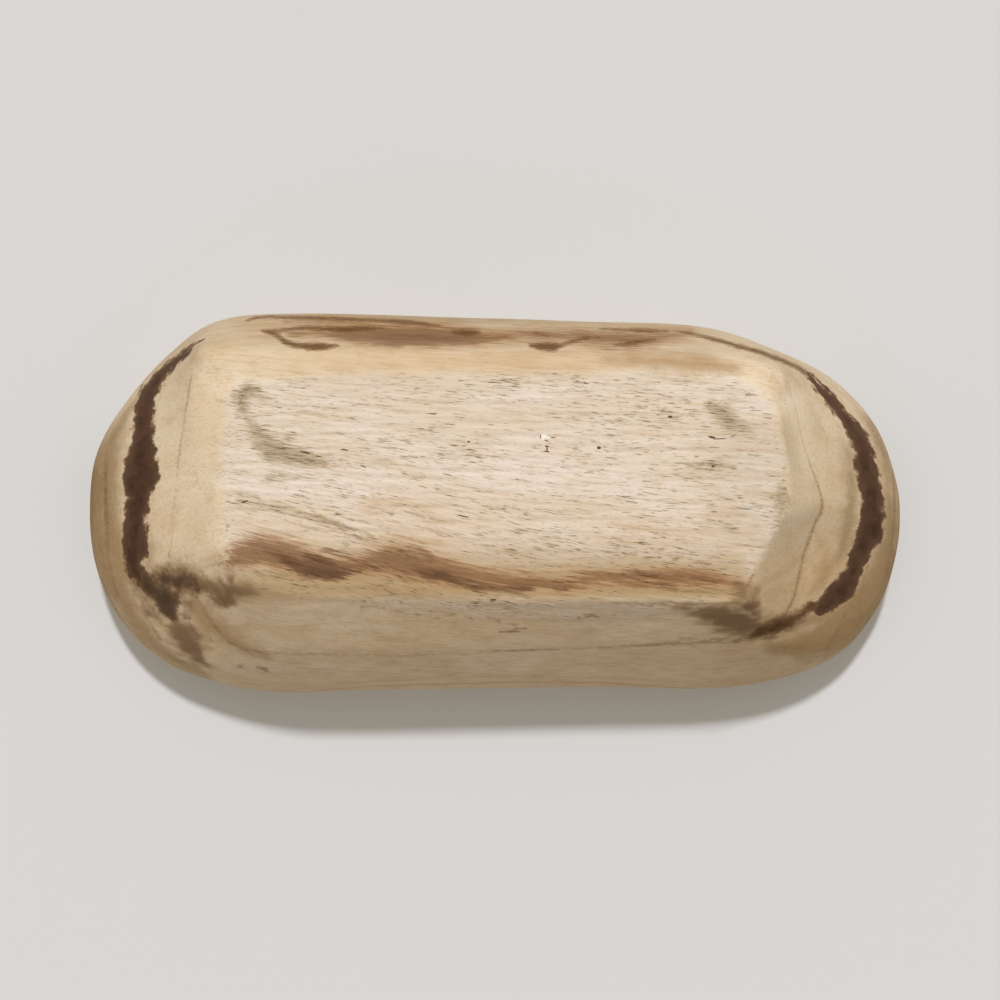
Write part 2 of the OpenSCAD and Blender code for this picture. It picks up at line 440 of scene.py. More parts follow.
# %% How far down and how far round the basin a point lies
share_of = np.zeros(len(points))
turn_of = np.zeros(len(points))
in_rows = np.where(row_of_point[:len(skin_points)] >= basin_row)[0]
share_of[in_rows] = basin_shares[row_of_point[in_rows] - basin_row]
turn_of[in_rows] = in_rows % strokes / strokes
share_of[-floor_count:] = floor_reach.ravel() * basin_shares[-1]
turn_of[-floor_count:] = floor_around.ravel() / strokes

# %% Gouge cuts, in lanes round the basin
CUT_WIDTH, CUT_LENGTH, CUT_DEPTH = 12.0, 30.0, 0.35
LANE_SWAY_MM, LANE_SHIFT = 1.5, 0.37
OVAL_SHARE = 0.85
LEAST_SHARE, FEWEST_CUTS = 0.12, 3

all_shares = np.linspace(1, 0, 400)
depth_run = np.interp(share_of, all_shares[::-1], walked_down(all_shares)[::-1])
depth_run += LANE_SWAY_MM * waves(points, (60, 60, 60), 8, 21)
lane = np.floor(depth_run / CUT_WIDTH)
across_cut = depth_run / CUT_WIDTH - lane - 0.5
basin_round = 2 * (bowl_len + bowl_w) * OVAL_SHARE
cuts_in_lane = np.round(basin_round * np.maximum(share_of, LEAST_SHARE) / CUT_LENGTH)
along_turn = turn_of * np.maximum(cuts_in_lane, FEWEST_CUTS) + LANE_SHIFT * lane
along_cut = along_turn - np.floor(along_turn) - 0.5
gouge = (1 - (2 * across_cut) ** 2) * (1 - (2 * along_cut) ** 4)
print("gouge lanes from the rim to the middle of the floor:", int(lane[is_basin].max()) + 1)

# %% The mesh before relief, for its normals
bowl_mesh = bpy.data.meshes.new("carved_bowl")
bowl_mesh.from_pydata((points * MM).tolist(), [], faces.tolist())
bowl_mesh.update()
normals = np.zeros(len(points) * 3, np.float32)
bowl_mesh.vertex_normals.foreach_get("vector", normals)
normals = normals.reshape(-1, 3).astype(float)

# %% The relief of each tool: depth in mm, mean and swing, lengths of the waves, how many, and the seed
RELIEF = {
    "furrows": (0.16, 1, 0.5, (34, 2.6, 60), 40, 1), "tears": (0.09, 0, 1, (14, 1.7, 60), 40, 2),
    "scraped": (0.22, 0.6, 0.4, (46, 40, 30), 14, 3), "adzed": (0.12, 0.6, 0.4, (18, 14, 14), 14, 4),
    "lip": (0.25, 0.6, 0.4, (38, 38, 38), 10, 5),
}
CUTS_FROM_MM, CUTS_FADE_MM, CUTS_VARY = 2.7, 9.0, 0.3
BASIN_SCRAPED = 0.5
CREASE_DEPTH, CREASE_ROWS = 0.16, 0.8

relief = {}
for name, (depth_mm, mean, swing, lengths, count, seed) in RELIEF.items():
    relief[name] = depth_mm * (mean + swing * waves(points, lengths, count, seed))
scraped = relief["scraped"]
gouged = CUT_DEPTH * np.clip(gouge, 0, 1) * np.clip((depth_run - CUTS_FROM_MM) / CUTS_FADE_MM, 0, 1)
gouged *= 1 - CUTS_VARY + CUTS_VARY * scraped
crease = np.zeros(len(points))
near_edge = np.exp(-((row_number - edge_row) / CREASE_ROWS) ** 2)
crease[:len(skin_points)] = np.outer(near_edge, edge_crisp).ravel()

# %% Cut the relief
on_adze = (row_of_point > base_row) & (row_of_point <= edge_row)
smooth_cut = np.where(on_adze, relief["adzed"], np.where(is_outer, scraped, relief["lip"]))
smooth_cut += CREASE_DEPTH * crease
smooth_cut = np.where(is_basin, BASIN_SCRAPED * scraped + gouged, smooth_cut)
rough_cut = relief["furrows"] + np.maximum(relief["tears"], 0)
depth = sawn * rough_cut + (1 - sawn) * np.maximum(smooth_cut, 0)
points = points - normals * np.maximum(depth, 0)[:, None]
points[:, 2] = np.clip(points[:, 2], 0, bowl_h)
bowl_mesh.vertices.foreach_set("co", (points * MM).astype(np.float32).ravel())
bowl_mesh.update()
bowl_mesh.shade_smooth()
bowl = new_object("carved_bowl", bowl_mesh)
print("deepest cut, mm:", round(float(depth.max()), 2))

# %% [markdown]
# The colour of this wood is drawn by growth. The pale wood turns dark where one old layer of the tree
# passes through the block, and the knife lays that layer open as a ring: a brown streak along the
# base, dark bands down both ends and a brown streak along the back. A painted picture would stop at
# a seam, so the marks are kept as distances, in millimetres, on the points of the mesh. The material
# later turns each distance into a ragged edge. The strokes are read off the photograph.

# %% Dark bands down the two ends: pixels across and down, and half the width
LEFT_BAND_PX = [
    (202, 338, 1.2), (188, 350, 2.2), (176, 360, 3.2), (165, 370, 4.5), (157, 380, 6), (149, 391, 7.5),
    (145, 403, 8.5), (143, 418, 10), (142, 435, 10.5), (143, 449, 13.5), (141, 462, 15.5),
    (142, 474, 17.5), (137, 487, 14), (140, 499, 9), (135, 509, 13), (135, 521, 12), (135, 540, 12.5),
    (134, 551, 12.5), (132, 560, 10), (135, 569, 8.5), (141, 578, 7.5), (149, 588, 7),
]
RIGHT_BAND_PX = [
    (809, 374, 0.8), (815, 381, 3), (821, 388, 4.8), (831, 400, 6), (841, 412, 5), (848, 421, 6.2),
    (857, 434, 8), (863, 448, 10), (865, 462, 10), (869, 478, 11.5), (872, 498, 10.5), (873, 517, 12.5),
    (871, 532, 13.5), (866, 543, 11), (859, 557, 9.5), (854, 572, 8), (848, 582, 10), (838, 594, 12),
    (828, 602, 10), (820, 608, 7), (812, 606, 4),
]
RIGHT_LINK_PX = [
    (813, 604.5, 2.5), (806, 611, 3.6), (800, 616, 5.5), (790, 621.5, 7), (780, 626, 7.5),
    (770, 629.5, 7), (760, 633, 5), (750, 639, 2),
]
BAND_START_PX = [
    (676, 330, 0.8), (700, 335.5, 1.3), (720, 340, 1.7), (740, 346, 1.9), (760, 351, 1.9),
    (780, 358.5, 2), (798, 366.5, 1.7), (812, 377, 2.2),
]

# %% Knots and branches beside the bands
LEFT_KNOT_PX = [(146, 578, 6), (153, 590, 10), (163, 598, 13), (170, 608, 9), (174, 617, 4)]
KNOT_LINK_PX = [(165, 578, 7.5), (175, 582, 7.5), (185, 582, 7), (192, 586, 5.5), (199, 589, 2)]
LEFT_BRANCH_PX = [
    (165, 574, 9), (180, 574, 9), (190, 580, 9), (204, 586, 9), (216, 591, 10.5), (225, 596, 11),
    (236, 589, 8.5), (248, 590, 5), (258, 595, 1.5),
]
KNOT_FILL_PX = [(156, 584, 6), (170, 586, 9), (184, 588, 9), (194, 592, 4)]
SPUR_PX = [(230, 567, 1.5), (233, 574, 3.5), (232, 584, 5)]
BRANCH_HEART_PX = [(211, 597, 1), (218, 601, 4), (226, 603, 3.5), (232, 600, 1)]
WEDGE_PX = [
    (674, 608, -2), (690, 611, 3), (706, 615, 9), (720, 618, 12), (734, 621, 14), (746, 625, 13),
    (764, 629, 9), (782, 622, 6),
]
WEDGE_TIP_PX = [(741, 589, 7), (745, 596, 10), (749, 605, 7), (755, 614, 7)]
TAIL_PX = [
    (166, 604, 10), (171, 614, 9), (177, 625, 10), (182, 635, 14), (190, 644, 12), (199, 655, 8),
    (208, 664, 2),
]
KNOT_HALO_PX = [
    [(130, 575, 1), (138, 589, 4), (149, 605, 6), (161, 619, 5)],
    [(180, 594, 5), (187, 604, 5), (183, 613, 5)],
]
CRUMBS_PX = [[(172, 616, 0.8), (178, 616, 0.8)], [(183, 618, 1.2), (189, 618, 1.2)]]

# %% The brown streak along the base, its darker core, and the streaks on the back
BASE_STREAK_PX = [
    (229, 562, 5), (240, 556, 12), (262, 550, 15), (285, 556, 16), (308, 563, 14), (330, 568, 12),
    (352, 566, 11), (372, 562, 11), (392, 560, 14), (412, 564, 17), (432, 570, 16), (452, 573, 12),
    (476, 578, 10), (513, 582, 9.5), (560, 584, 7.5), (600, 578, 7.5), (633, 578, 8.5), (667, 577, 10),
    (704, 578, 8.5), (732, 583, 5), (742, 588, 2),
]
BASE_CORE_PX = [
    [(264, 550, 1), (282, 557, 4), (294, 565, 6), (308, 571, 8), (326, 573, 8), (342, 573, 7),
     (359, 571, 1.5)], [(306, 556, 3), (322, 562, 4), (335, 567, 4)],
    [(415, 568, 2), (428, 574, 5), (442, 575, 7), (456, 580, 5), (476, 586, 4), (500, 589, 3),
     (520, 590, 4), (534, 588, 2)], [(326, 550, 0.6), (345, 556, 1.1), (376, 568, 1.3)],
    [(400, 545, 0.5), (420, 551, 1), (432, 555, 0.6)], [(408, 557, 0.5), (424, 562, 1), (431, 563, 0.5)],
    [(628, 571, 1), (642, 573, 1.6), (656, 577, 1)], [(640, 582, 0.6), (660, 585, 1.6), (676, 588, 0.8)],
    [(690, 577, 0.6), (708, 581, 1.2), (716, 583, 0.6)], [(553, 588, 1), (563, 589, 2), (570, 586, 1)],
]
BACK_STREAK_PX = [
    (288, 334, 1), (318, 334, 3), (346, 334.5, 6.5), (375, 336, 10), (400, 337, 10.5), (440, 337, 10),
    (470, 337, 8.5), (486, 338, 5), (502, 338, 2.5), (516, 338, 0),
]
BACK_TOP_PX = [
    (285, 322, 0), (320, 323, 1.8), (360, 324, 2.6), (400, 326, 2.6), (440, 328, 2.6), (480, 331, 1.5),
]
BACK_TAN_PX = [
    (488, 334, 3), (515, 334, 4), (545, 335, 4.5), (575, 335, 6), (600, 338, 7.5), (628, 340, 8.5),
    (652, 338, 7), (672, 335, 4), (690, 332, 1),
]
DARK_LINES_PX = [
    [(246, 321, 0.6), (254, 317.5, 1.4), (268, 316, 1), (300, 317.5, 1.7), (330, 318.5, 1.7),
     (362, 320, 1.6), (398, 321.5, 2), (424, 324, 1.8), (440, 326, 0.6)],
    [(272, 333, 1), (284, 330, 1.6), (310, 328, 1.8), (345, 329.5, 3), (372, 328.5, 2.4),
     (384, 328, 0.6)],
    [(275, 331, 1.4), (279, 337, 2.2), (285, 342, 2.6), (296, 345, 2.8), (312, 346.5, 4),
     (326, 346, 3.4), (338, 345, 0.8)], [(262, 331, 0.8), (269, 332, 2.2), (276, 333, 2)],
    [(452, 332, 1.5), (466, 333, 3.5), (479, 332, 1.5)],
    [(530, 345.5, 1.8), (540, 346.5, 3.8), (554, 347, 4.2), (563, 345, 1.6)],
    [(532, 333, 0.6), (540, 333, 1), (549, 336, 0.6)], [(560, 345, 1), (583, 338.5, 2), (600, 337, 0.7)],
    [(614, 345, 0.8), (636, 342, 2), (655, 339, 0.8)],
    [(600, 328, 0.6), (640, 330, 1.6), (668, 331, 0.7)],
    [(578, 618, 0.4), (590, 616, 1.1), (600, 617, 0.5)],
    [(500, 632, 0.4), (514, 630.5, 1.1), (528, 628.5, 0.4)],
]

# %% Browned wood at the ends outside the bands, and painted shade on the right wall and along the back edge
BROWNED_AND_SHADE_PX = [
    [(132, 405, 4), (113, 440, 13), (100, 480, 21), (100, 520, 22), (111, 560, 21), (120, 592, 17),
     (134, 618, 12), (154, 642, 9), (180, 664, 7), (205, 676, 5)],
    [(868, 415, 5), (884, 455, 5), (889, 495, 4), (892, 530, 10), (882, 570, 18), (866, 600, 21),
     (846, 624, 22), (822, 640, 20), (798, 648, 15), (772, 648, 9)],
    # Painted shade on the right wall, where it turns away.
    [(816, 530, -2), (826, 552, 2), (826, 574, 4), (810, 594, 1)],
    [(190, 604, 9), (204, 618, 12), (222, 632, 11), (244, 647, 8), (268, 656, 4)],
    [(150, 536, 2), (149, 551, 7), (148, 563, 7), (150, 573, 3)],
    [(784, 634, 2), (802, 622, 9), (822, 619, 10), (838, 612, 6)],
    # Painted shade: this stroke on the right wall, where it turns away, and the next along the back edge,
    # where it rounds over.
    [(841, 428, 0), (848, 455, 6), (853, 490, 9), (850, 520, 8), (842, 550, 8), (832, 570, 3)],
    [(190, 345, -14), (250, 319, -3), (330, 318, 4), (400, 319, 5), (470, 320, 4), (560, 320, 2),
     (640, 325, -2), (720, 340, -12)], [(600, 358, 5), (650, 361, 9), (700, 363, 11), (735, 367, 6)],
]

# %% Painted light on a facet at the right end, and painted shade: towards the near edge of the base, at the right end and along the back
# Painted light: the facet right of the sawn face is lifted towards a paler tone, against the shade its
# slant gets.
PAINTED_LIGHT_PX = [(790, 380, 3), (794, 400, 8), (799, 425, 10), (803, 450, 8), (808, 476, 3)]
PAINTED_LIGHT_FADE_MM = 2.5
# The share of painted shade, and pixels across (0) or down (1) at which it is nothing and at which it is
# full
PAINTED_SHADE_ZONES = [
    (1.0, (0, 225, 250), (0, 765, 735), (1, 525, 592), (1, 608, 592)),
    (0.26, (0, 680, 750), (1, 400, 450)), (0.22, (0, 740, 680), (1, 390, 365)),
]


def fade_in(values, none, full):
    """0 up to one value and 1 from the other on, with a soft passage between."""
    part = np.clip((values - none) / (full - none), 0, 1)
    return part * part * (3 - 2 * part)


painted_shade = np.zeros(len(points))
for share, *fades in PAINTED_SHADE_ZONES:
    zone = share * is_outer
    for axis, none, full in fades:
        zone = zone * fade_in(picture[:, axis], none, full)
    painted_shade = np.maximum(painted_shade, zone)
print("dull points:", int((painted_shade > 0.5).sum()))

# %% Thin lines on the walls: grain lines, and painted shade along the crease at the chamfer's edge
THIN_LINES_AND_CREASE_SHADE_PX = [
    [(131, 574, 0.5), (141, 600, 0.8), (147, 618, 0.8), (155, 632, 1), (161, 641, 0.5)],
    [(107, 454, 0.8), (105, 480, 2.2), (106, 520, 2.2), (108, 554, 1)],
    [(109, 561, 0.7), (113, 578, 0.8), (118, 597, 0.5)],
    # Painted shade along the crease at the chamfer's edge, in this stroke and the next.
    [(168, 553, 0.8), (172, 560, 1), (180, 571, 1.2), (192, 590, 1), (203, 609, 1.2), (215, 627, 1),
     (230, 643, 0.8), (246, 650, 0.8), (270, 653, 0.9)],
    [(270, 653, 0.7), (320, 655, 0.5), (400, 656, 0.3), (470, 654, 0.2)],
    [(480, 651, 0.3), (512, 651, 0.8), (560, 650, 0.4)],
    [(360, 607, 0.3), (385, 609, 0.9), (405, 612, 0.3)],
    [(400, 613, 0.3), (425, 616, 1), (440, 619, 0.4)], [(430, 611, 0.3), (455, 615, 0.8)],
    [(464, 616, 0.5), (474, 620, 0.9)], [(486, 617, 0.4), (500, 622, 0.9)],
    [(508, 624, 0.4), (520, 626, 0.7)],
    # Painted shade along the crease at the front.
    [(598, 648, 0.4), (640, 646, 1.2), (665, 644, 1.5), (700, 643, 1), (735, 642, 1.3), (754, 640, 0.8)],
    [(192, 368, 0.5), (188, 395, 0.7), (184, 425, 0.8), (179, 455, 1), (177, 480, 0.8), (174, 505, 0.9),
     (171, 535, 0.6), (170, 552, 0.7)], [(848, 608, 0.5), (842, 622, 1), (834, 638, 1), (826, 650, 0.6)],
    [(868, 566, 0.5), (864, 580, 0.8), (861, 594, 0.5)],
    [(893, 470, 0.6), (895, 510, 1), (892, 555, 0.7)],
    [(186, 350, 0.8), (170, 362, 1.6), (156, 375, 1.6), (143, 390, 1.2), (134, 402, 0.5)],
    [(203, 637, 0.8), (212, 640, 0.8)], [(256, 667, 1.2), (267, 671, 1.8)],
    [(238, 667, 1.2), (242, 667, 1.2)], [(208, 566, 0.5), (220, 564, 1.2), (232, 562.5, 1.4)],
    [(757, 570, 0.8), (750, 580, 1.2), (746, 588, 1.5)],
    [(201, 635, 0.6), (208, 640, 0.9), (213, 643, 0.5)],
    [(252, 388, 0.5), (245, 388, 1.2), (240, 396, 1), (239, 405, 0.5)],
    [(248, 391, 0.5), (264, 399, 0.6)], [(283, 447, 0.3), (304, 452, 1), (322, 457, 0.3)],
    [(262, 443, 0.3), (280, 448, 0.8), (296, 450, 0.3)],
    [(300, 456, 0.2), (330, 464, 0.8), (345, 468, 0.2)],
    [(308, 461, 0.2), (326, 467, 0.7), (334, 469, 0.2)], [(322, 456, 0.3), (342, 461, 0.7)],
    [(256, 503, 0.3), (270, 505, 0.9), (286, 508, 0.3)],
    [(268, 509, 0.2), (290, 514, 0.7), (312, 521, 0.2)],
    [(296, 511, 0.2), (320, 517, 0.8), (345, 525, 0.2)],
    [(318, 520, 0.2), (340, 525, 1), (362, 533, 0.2)],
    [(330, 530, 0.2), (352, 536, 0.8), (376, 544, 0.2)],
    [(346, 518, 0.2), (366, 522, 0.7), (382, 527, 0.2)],
    [(284, 520, 0.2), (306, 527, 0.6), (328, 533, 0.2)],
    [(322, 549, 0.2), (340, 555, 0.9), (354, 561, 0.3)],
    [(396, 508, 0.2), (420, 516, 0.8), (446, 522, 0.2)],
    [(410, 524, 0.2), (432, 530, 0.9), (450, 536, 0.2)],
    [(386, 532, 0.2), (408, 538, 0.8), (428, 545, 0.2)],
    [(690, 464, 0.2), (714, 465, 0.9), (736, 467, 0.2)],
    [(696, 469, 0.2), (716, 470, 0.5), (728, 471, 0.2)],
    [(600, 604, 0.5), (668, 605, 1), (738, 603, 1.3)],
    [(680, 639, 0.4), (720, 639, 0.8), (757, 637, 0.6)],
]

# %% How deep a point lies inside a mark, which fades where the photograph can't see the wall
NOWHERE_MM = -25.0
RIM_FADE_SHARE = 0.9
above_belly = np.maximum(points[:, 2] - belly_h, 0)
hidden = np.where(is_outer, 0, RIM_FADE_SHARE * above_belly)


def stroke_field(stroke):
    """Pixels inside a stroke of changing width: positive inside it, negative outside."""
    best = np.full(len(points), -1e9)
    marks = np.array(stroke, float)
    for start, stop in zip(marks[:-1], marks[1:]):
        run = (stop - start)[:2]
        part = np.clip(((picture - start[:2]) @ run) / (run @ run), 0, 1)
        off = np.linalg.norm(picture - start[:2] - part[:, None] * run, axis=1)
        best = np.maximum(best, start[2] + part * (stop[2] - start[2]) - off)
    return best


def drawn(strokes_px):
    """Millimetres inside the nearest of several strokes on the outer skin, and nowhere in the basin."""
    field_mm = np.max([stroke_field(stroke) for stroke in strokes_px], axis=0) / PX_PER_MM
    return np.where(is_basin, NOWHERE_MM, np.maximum(field_mm - hidden, NOWHERE_MM))


# %% The families of marks
MARKS_PX = {
    "dark": [LEFT_BAND_PX, RIGHT_BAND_PX], "link": [RIGHT_LINK_PX], "knot": [LEFT_KNOT_PX, KNOT_LINK_PX],
    "branch": [LEFT_BRANCH_PX, KNOT_FILL_PX, SPUR_PX],
    "tail": [TAIL_PX, WEDGE_PX, WEDGE_TIP_PX, *KNOT_HALO_PX],
    "streak": [BASE_STREAK_PX, BACK_TOP_PX, BACK_TAN_PX], "back": [BACK_STREAK_PX],
    "core": [*BASE_CORE_PX, BRANCH_HEART_PX], "lines": [*DARK_LINES_PX, *CRUMBS_PX],
    "thin_and_crease_shade": THIN_LINES_AND_CREASE_SHADE_PX, "browned_and_shade": BROWNED_AND_SHADE_PX,
}
marks_mm = {name: drawn(strokes_px) for name, strokes_px in MARKS_PX.items()}
pale = fade_in(drawn([PAINTED_LIGHT_PX]), -PAINTED_LIGHT_FADE_MM, PAINTED_LIGHT_FADE_MM)
print("points in the dark bands:", int((marks_mm["dark"] > 0).sum()))

# %% [markdown]
# The growth layers themselves are surfaces inside the block. One such surface is spanned like a
# drumhead through the ring that the dark layer draws on the skin, and the height of a point above it
# numbers the layer that the point lies in. That one number gives the fine lines on the wall, on the
# base and in the basin, so the grain runs true from outside to inside, as it does in solid wood.

# %% A sheet through the dark ring
RING_PX = [
    (181, 361), (148, 400), (144, 444), (141, 487), (135, 530), (140, 575), (165, 592), (200, 588),
    (229, 566), (268, 552), (313, 568), (359, 564), (404, 560), (450, 573), (513, 583), (572, 582),
    (633, 579), (704, 580), (745, 590), (775, 615), (809, 606), (839, 591), (860, 550), (872, 509),
    (866, 454), (838, 404), (800, 370), (745, 346), (682, 334), (613, 340), (547, 342), (485, 339),
    (400, 338), (330, 336), (262, 336), (215, 342),
]
SHEET_SLACK = 30.0


def nearest_on_skin(pixels):
    """The outer skin's point that falls nearest to each pixel."""
    seen = np.where(is_outer & (normals[:, 2] < 0))[0]
    return np.array([points[seen[np.argmin(((picture[seen] - p) ** 2).sum(axis=1))]] for p in pixels])


def sheet_terms(at):
    """For each point, how each pin bends a thin sheet there, and the terms of a flat sheet."""
    away = ((at[:, None, :2] - pins[None, :, :2]) ** 2).sum(axis=2)
    return away * np.log(np.maximum(away, 1e-9)), np.column_stack([np.ones(len(at)), at[:, :2]])


pins = nearest_on_skin(RING_PX)
bending, flat_part = sheet_terms(pins)
system = np.block([[bending + SHEET_SLACK * np.eye(len(pins)), flat_part],
                   [flat_part.T, np.zeros((3, 3))]])
pull = np.linalg.solve(system, np.concatenate([pins[:, 2], np.zeros(3)]))
print("pins in the ring:", len(pins))

# %% The layer that every point lies in
bending, flat_part = sheet_terms(points)
layer_mm = points[:, 2] - (bending @ pull[:-3] + flat_part @ pull[-3:])

# On the back wall, which the photograph sees edge on, the band keeps to its own growth layer.
BACK_WALL_Y, FREE_Y, BAND_HALF_MM, FREE_MM = -52, -32, 2.6, 16
band_limit = np.interp(points[:, 1], [BACK_WALL_Y, FREE_Y], [BAND_HALF_MM, FREE_MM]) - np.abs(layer_mm)
band_limit = np.maximum(band_limit, NOWHERE_MM)
band_start = np.minimum(drawn([BAND_START_PX]), band_limit)
marks_mm["dark"] = np.minimum(marks_mm["dark"], band_limit)
marks_mm["lines"] = np.maximum(marks_mm["lines"], band_start)
print("layers, mm, from", round(float(layer_mm.min()), 1), "to", round(float(layer_mm.max()), 1))

# %% Soft discolouring of the sawn face, and tan patches that are partly painted shade: pixels, and half the width
GREY_SMEARS_PX = [
    [(257, 389, 3), (247, 390, 7), (241, 398, 8), (243, 408, 5)], [(248, 394, 4), (262, 398, 2)],
    [(242, 410, 2), (250, 424, 4), (262, 440, 9), (274, 452, 12), (290, 456, 10), (306, 459, 7),
     (324, 463, 1)], [(270, 478, 2), (288, 476, 3.5), (306, 477, 1.5)],
    [(662, 413, 1), (671, 415, 3), (679, 419, 1)],
    [(712, 407, 6), (722, 415, 10), (737, 424, 7), (750, 429, 4)],
    [(781, 488, 5), (782, 506, 7), (781, 520, 4)],
    [(240, 501, 3), (252, 501, 1.5), (285, 509, 1.5), (330, 522, 2), (365, 532, 2)],
    [(690, 465, 0), (714, 466, 3), (735, 467, 0)], [(712, 524, 0), (726, 528, 3), (738, 530, 0)],
]
TAN_AND_SHADE_PATCHES_PX = [
    [(362, 514, 4), (378, 503, 5), (402, 501, 5), (424, 508, 5), (436, 516, 3)],
    [(372, 543, 6), (400, 538, 11), (436, 544, 9)], [(430, 520, -1), (480, 528, -3)],
    [(440, 360, 4), (520, 356, 8), (620, 355, 9), (700, 360, 6)], [(246, 324, 10), (272, 327, 13)],
    [(558, 346, 8), (588, 346, 10), (614, 345, 7)], [(476, 344, 6), (508, 343, 8), (532, 341, 4)],
    [(485, 363, 6), (530, 366, 11), (565, 367, 11), (604, 366, 7)], [(322, 350, 3), (342, 351, 2)],
    # Painted shade: the first patch on the next line darkens the right wall where it turns away.
    [(826, 540, 9), (828, 565, 14), (812, 592, 10)], [(790, 530, 1), (785, 560, 2), (772, 580, 1)],
    [(745, 367, 3), (768, 375, 4), (780, 392, 1)], [(205, 352, -1), (226, 345, 0)],
    [(212, 662, 2), (245, 668, 3)],
    [(490, 334, 6), (545, 335, 8), (600, 338, 10), (650, 339, 8), (685, 335, 2)],
    [(285, 324, 3), (340, 323, 7), (400, 325, 7), (445, 329, 5)],
    # Painted shade: the first patch on the next line is a soft shade along the crease at the front.
    [(262, 655, -2), (340, 657, 2), (470, 655, 0)], [(715, 513, 4), (735, 516, 3)],
    [(300, 361, 2), (370, 362, 4), (440, 361, 5)], [(690, 450, -2), (775, 450, -1)],
    [(660, 478, -2), (778, 475, -1)], [(680, 502, -2), (770, 498, -1)],
    [(600, 526, -2), (690, 534, -1), (760, 530, -1)], [(824, 440, 0), (836, 480, 2), (828, 520, 0)],
    [(790, 640, 10), (815, 645, 12), (832, 636, 8)], [(640, 358, 6), (690, 359, 8), (725, 362, 6)],
]
SMEAR_FADE_MM, TAN_FADE_MM = 4.0, 8.0
smear = np.clip(0.5 + drawn(GREY_SMEARS_PX) / SMEAR_FADE_MM, 0, 1)
tan_and_shade = np.clip(0.5 + drawn(TAN_AND_SHADE_PATCHES_PX) / TAN_FADE_MM, 0, 1)
# Painted warm shade: the outer skin turns tan towards +Y, the side that lies in shade.
WARM_FROM_Y, WARM_TO_Y, WARM_SHARE = 2.0, 26.0, 0.42
painted_warm_shade = WARM_SHARE * np.clip((points[:, 1] - WARM_FROM_Y) / (WARM_TO_Y - WARM_FROM_Y), 0, 1)
tan_and_shade = np.maximum(tan_and_shade, np.where(is_outer, painted_warm_shade, 0))

# %% How the fibres run: nearly along X, and more aslant in the lower left of the base
SLANT, EXTRA_SLANT = 0.09, 0.18
SLANT_AT_X, SLANT_REACH, SLANT_DEPTH, SLANT_LEVEL = -45.0, 60.0, 30.0, 0.6
SLANT_NONE_Y, SLANT_FULL_Y = -25.0, 11.0
FIBRE_SWAY_MM = 0.6
across = fade_in(points[:, 1], SLANT_NONE_Y, SLANT_FULL_Y) * np.clip(1 - points[:, 2] / SLANT_DEPTH, 0, 1)
bent = np.tanh((points[:, 0] - SLANT_AT_X) / SLANT_REACH)
extra = EXTRA_SLANT * SLANT_REACH * (bent - SLANT_LEVEL)
fibre_mm = points[:, 1] - SLANT * points[:, 0] - extra * across
fibre_mm += FIBRE_SWAY_MM * waves(points, (120, 60, 60), 10, 6)
slope = SLANT + EXTRA_SLANT * (1 - bent ** 2) * across
print("slope of the fibres, from", round(float(slope.min()), 2), "to", round(float(slope.max()), 2))

# %% Keep them all on the mesh
# Where a drawn line runs beside the crease, the painted shade in the crease gives way to it.
CREASE_CLEAR_MM, CREASE_FULL_MM = 1.0, 4.0
crease *= np.clip((-marks_mm["thin_and_crease_shade"] - CREASE_CLEAR_MM) / (CREASE_FULL_MM - CREASE_CLEAR_MM), 0, 1)
# End grain shows where the surface cuts squarely across the fibres; its darker tone there is partly
# painted shade at the ends.
END_POWER = 6
end_grain_and_shade = np.abs(normals[:, 0]) ** END_POWER


def keep_on_mesh(name, values):
    """One number for each point of the bowl, where its material and its trees can read it."""
    attribute = bowl_mesh.attributes.new(name, "FLOAT", "POINT")
    attribute.data.foreach_set("value", values.astype(np.float32))


lengths_mm = marks_mm | {"layer": layer_mm, "fibre": fibre_mm, "smear": smear, "tan_and_shade": tan_and_shade}
fields = {name: values * MM for name, values in lengths_mm.items()}
fields |= {"sawn": sawn, "crease": crease, "end": end_grain_and_shade, "pale": pale, "painted_shade": painted_shade, "slope": slope}
for name, values in fields.items():
    keep_on_mesh(name, values)
print("fields on the mesh:", ", ".join(fields))

# %% [markdown]
# The finish is bare wood, with no oil or varnish, so it is dull and its colour does all the work.
# The material is built in layers, as the wood is: a pale ground, fine grain along the fibres, the
# lines between growth layers, open pores, and then the dark wood with its ragged edges. Every
# pattern is drawn out along the fibres, and its scale is a real length in millimetres.

# %% A colour, and a node with its links
def tone(code):
    """A colour written as an sRGB hex value, turned to the linear values that shaders use."""
    parts = [int(code[i:i + 2], 16) / 255 for i in (1, 3, 5)]
    return tuple(c / 12.92 if c <= 0.04045 else ((c + 0.055) / 1.055) ** 2.4 for c in parts) + (1.0,)


def add(tree, kind, inputs=None, **settings):
    """A node, of the shader family unless its kind names another, with its settings and its links.

    An input takes a value, a socket, or a node for its first output in use.
    """
    node = tree.nodes.new(kind if "Node" in kind else "ShaderNode" + kind)
    for name, value in settings.items():
        setattr(node, name, value)
    for name, value in (inputs or {}).items():
        socket = node.inputs[name] if isinstance(name, int) else next(
            s for s in node.inputs if s.enabled and s.name == name)
        if isinstance(value, bpy.types.Node):
            value = next(s for s in value.outputs if s.enabled)
        if isinstance(value, bpy.types.NodeSocket):
            tree.links.new(value, socket)
        else:
            socket.default_value = value
    return node


# %% Raw hardwood: where a point lies along, across and through the fibres
def emptied_tree(owner):
    """The node tree of a new material or world, with nothing in it yet."""
    owner.use_nodes = True
    owner.node_tree.nodes.clear()
    return owner.node_tree


